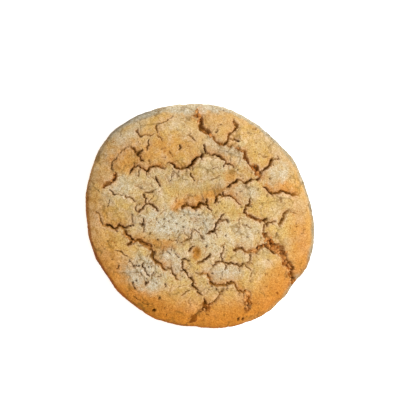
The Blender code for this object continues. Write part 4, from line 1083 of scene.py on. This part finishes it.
def crust_material(bake):
    """The baked crust: each layer of colour is laid over the ones before it by its own share."""
    material, board, shader = new_material("baked_crust", bake.roughness, 0.05)
    place = board.place()
    grain = board.node("ShaderNodeGroup", {"Place": place}, node_tree=oven_grain())
    cloud, blotch = board.grain(place, CLOUD, 2.0, 0.5), board.grain(place, BLOTCH, 3.0, 0.6)
    amber, tone, dusty = board.field("amber"), board.field("tone"), board.field("pale")
    pale = board.math("MINIMUM", board.times(dusty, board.spread(blotch, 0.25, 0.60, 0.35, 1.0)), 1.0)
    toast = board.times(board.field("toast"), board.spread(blotch, 0.75, 0.30, 0.60, 1.15))
    rosy = board.times(board.spread(blotch, 0.48, 0.68, 0.0, 0.45), board.spread(amber, 0.0, 0.5, 1.0, 0.1))
    torn = board.mix(tone, bake.crumb, bake.crumb_tops)
    colour = board.mix(board.spread(cloud, 0.40, 0.66, 0.0, 0.40), bake.golden, bake.cream)
    for share, layer in (
        (rosy, bake.rosy),
        (pale, bake.cream),
        (board.spread(dusty, 1.0, 1.6, 0.0, 0.7), bake.flour),
        # Painted highlight on the lips along the cracks.
        (board.times(board.field("lip"), 0.80), bake.rosy),
        (board.times(amber, board.spread(pale, 0.0, 0.9, 1.0, 0.1)), bake.amber),
        # Toast, partly painted shade on the cracks' left banks, and brown, partly warm painted shade at their edges.
        (board.math("MINIMUM", toast, 1.0), bake.toasted),
        (board.field("brown"), bake.bank),
        (board.times(board.field("crumb"), board.spread(grain.outputs["Fleck"], 0.3, 0.6, 0.85, 1.0)), torn),
        (board.times(board.field("tray"), 0.85), bake.tray_side),
    ):
        colour = board.mix(share, colour, layer)
    colour = board.mix(1.0, colour, grain.outputs["Shade"], "MULTIPLY")
    colour = board.mix(1.0, colour, board.warm_grey(board.spread(tone, 0.1, 0.9, 0.93, 1.07)), "MULTIPLY")
    speck = board.spread(board.grain(place, SPECK, 1.0, 0.5), 0.64, 0.70)
    for share, layer in (
        (board.times(speck, board.spread(blotch, 0.62, 0.40, 0.30, 0.80)), bake.crumb),
        (board.times(sugar_sparkle(board, place), board.spread(amber, 0.2, 0.7, 1.0, 0.3)), bake.sugar),
        (fine_cracks(board, place), bake.hairline),
        (board.times(board.field("seam"), 0.80), bake.hairline),
        # The dark field: painted shade in cracks, pores and crumb pockets, a painted shadow along wide cracks, and
        # the burnt spot's own colour.
        (board.field("dark"), bake.deep),
    ):
        colour = board.mix(share, colour, layer)
    colour = board.mix(1.0, colour, shaded_light(board), "MULTIPLY")
    board.finish(shader, colour, 0.7, 0.0004, grain.outputs["Height"])
    rough = board.spread(grain.outputs["Fleck"], 0.2, 0.8, bake.roughness - 0.08, bake.roughness + 0.10)
    board.link(rough, shader.inputs["Roughness"])
    return material


def torn_crumb_material(bake):
    """The torn crumb: darkened towards deep brown in the hollows of its bump as painted shade, and lighter on its
    tops.
    """
    material, board, shader = new_material("torn_crumb", bake.roughness, 0.05)
    grain = board.node("ShaderNodeGroup", {"Contrast": 0.8, "Place": board.place()}, node_tree=oven_grain())
    colour = board.mix(board.field("tone"), bake.crumb, bake.crumb_tops)
    colour = board.mix(board.spread(grain.outputs["Fleck"], 0.50, 0.30, 0.0, 0.6), colour, bake.deep)
    colour = board.mix(1.0, colour, grain.outputs["Shade"], "MULTIPLY")
    board.finish(shader, colour, 0.5, 0.0002, grain.outputs["Height"])
    return material


def floor_material(floor_colour):
    """A matt floor that glows a little, so that it stays pale under the cookie's shadow."""
    material, _, shader = new_material("pale_floor", 0.9, 0.1)
    shader.inputs["Base Color"].default_value = floor_colour
    shader.inputs["Emission Color"].default_value = (1.0, 1.0, 1.0, 1.0)
    shader.inputs["Emission Strength"].default_value = 0.50
    return material


# ---------------------------------------------------------------- operators

class COOKIE_OT_crust(bpy.types.Operator):
    """Models the whole cookie: its domed and cracked crust, its wall and its flat underside"""
    bl_idname = "cookie.crust"
    bl_label = "Bake crust"

    def execute(self, context):
        # noise_vector works with random offsets, which are new in every run unless they are seeded.
        noise.seed_set(SEED)
        top = hexagon("cookie_crust", TOP_CUTS)
        shape_top(top, context.scene.cookie_shape)
        tray = hexagon("tray_side", TRAY_CUTS, TRAY_EDGE_CUTS)
        shape_tray_side(tray)
        crust = sew_tray_to_wall(top, tray)
        crust.data.materials.clear()
        crust.data.materials.append(crust_material(context.scene.cookie_bake))
        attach(crust, "root")
        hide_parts("cookie")
        return {"FINISHED"}


class COOKIE_OT_crumbs(bpy.types.Operator):
    """Strews crumbs along the floors of the wide cracks, half sunk in them"""
    bl_idname = "cookie.crumbs"
    bl_label = "Strew crumbs"

    def execute(self, context):
        places = strewn_crumbs(bpy.data.objects["cookie_crust"])
        deselect_all()
        lumps = [lump(number, *place) for number, place in enumerate(places)]
        for piece in lumps:
            piece.select_set(True)
        context.view_layer.objects.active = lumps[0]
        bpy.ops.object.join()
        crumbs = context.object
        crumbs.name = crumbs.data.name = "loose_crumbs"
        bpy.ops.object.shade_smooth()
        crumbs.location = (0.0, 0.0, 0.0)
        crumbs.data.materials.append(torn_crumb_material(context.scene.cookie_bake))
        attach(crumbs, "root")
        return {"FINISHED"}


class COOKIE_OT_stage(bpy.types.Operator):
    """Lays the pale floor and sets the soft light and the camera"""
    bl_idname = "cookie.stage"
    bl_label = "Set the stage"

    def execute(self, context):
        stage = context.scene.cookie_stage
        deselect_all()
        bpy.ops.mesh.primitive_plane_add(size=4.0, location=(0.0, 0.0, -0.2 * MM))
        floor = context.object
        floor.name = "floor"
        floor.data.materials.append(floor_material(stage.floor_colour))
        self.light(context, stage)
        self.camera(context, stage)
        return {"FINISHED"}

    def light(self, context, stage):
        world = bpy.data.worlds.new("studio")
        world.use_nodes = True
        sky = world.node_tree.nodes["Background"]
        sky.inputs["Color"].default_value = (1.0, 1.0, 1.0, 1.0)
        sky.inputs["Strength"].default_value = stage.sky
        context.scene.world = world
        deselect_all()
        bpy.ops.object.light_add(type="AREA", location=KEY_PLACE)
        key = context.object
        key.name = "key_light"
        key.data.energy = stage.key_power
        key.data.size = KEY_SIZE
        key.rotation_euler = Vector(key.location).to_track_quat("Z", "Y").to_euler()

    def camera(self, context, stage):
        sideways = math.sin(stage.camera_tilt)
        lean = Vector((sideways * math.cos(stage.camera_bearing), sideways * math.sin(stage.camera_bearing),
                       math.cos(stage.camera_tilt)))
        right = Vector((0.0, 1.0, 0.0)).cross(lean).normalized()
        turn = Matrix((right, lean.cross(right), lean)).transposed().to_4x4()
        deselect_all()
        bpy.ops.object.camera_add()
        camera = context.object
        camera.name = "camera"
        camera.matrix_world = Matrix.Translation(AIM + stage.camera_distance * lean) @ turn
        camera.data.lens = stage.lens
        camera.data.clip_start = 0.01
        context.scene.camera = camera
        context.scene.view_settings.view_transform = "Standard"


class COOKIE_PT_panel(bpy.types.Panel):
    """Lists the cookie's settings and steps"""
    bl_label = "Sugar cookie"
    bl_idname = "COOKIE_PT_panel"
    bl_space_type = "VIEW_3D"
    bl_region_type = "UI"
    bl_category = "Cookie"

    def draw(self, context):
        for group in (context.scene.cookie_shape, context.scene.cookie_bake, context.scene.cookie_stage):
            box = self.layout.box()
            for name in group.__annotations__:
                box.prop(group, name)
        for step in (COOKIE_OT_crust, COOKIE_OT_crumbs, COOKIE_OT_stage):
            self.layout.operator(step.bl_idname)


SETTINGS = {"cookie_shape": CookieShape, "cookie_bake": CookieBake, "cookie_stage": CookieStage}
CLASSES = (*SETTINGS.values(), COOKIE_OT_crust, COOKIE_OT_crumbs, COOKIE_OT_stage, COOKIE_PT_panel)


def register():
    for cls in CLASSES:
        bpy.utils.register_class(cls)
    for name, group in SETTINGS.items():
        setattr(bpy.types.Scene, name, bpy.props.PointerProperty(type=group))


def unregister():
    for name in SETTINGS:
        delattr(bpy.types.Scene, name)
    for cls in reversed(CLASSES):
        bpy.utils.unregister_class(cls)


def main():
    register()
    bpy.ops.cookie.crust()
    bpy.ops.cookie.crumbs()
    bpy.ops.cookie.stage()


if __name__ == "__main__":
    main()
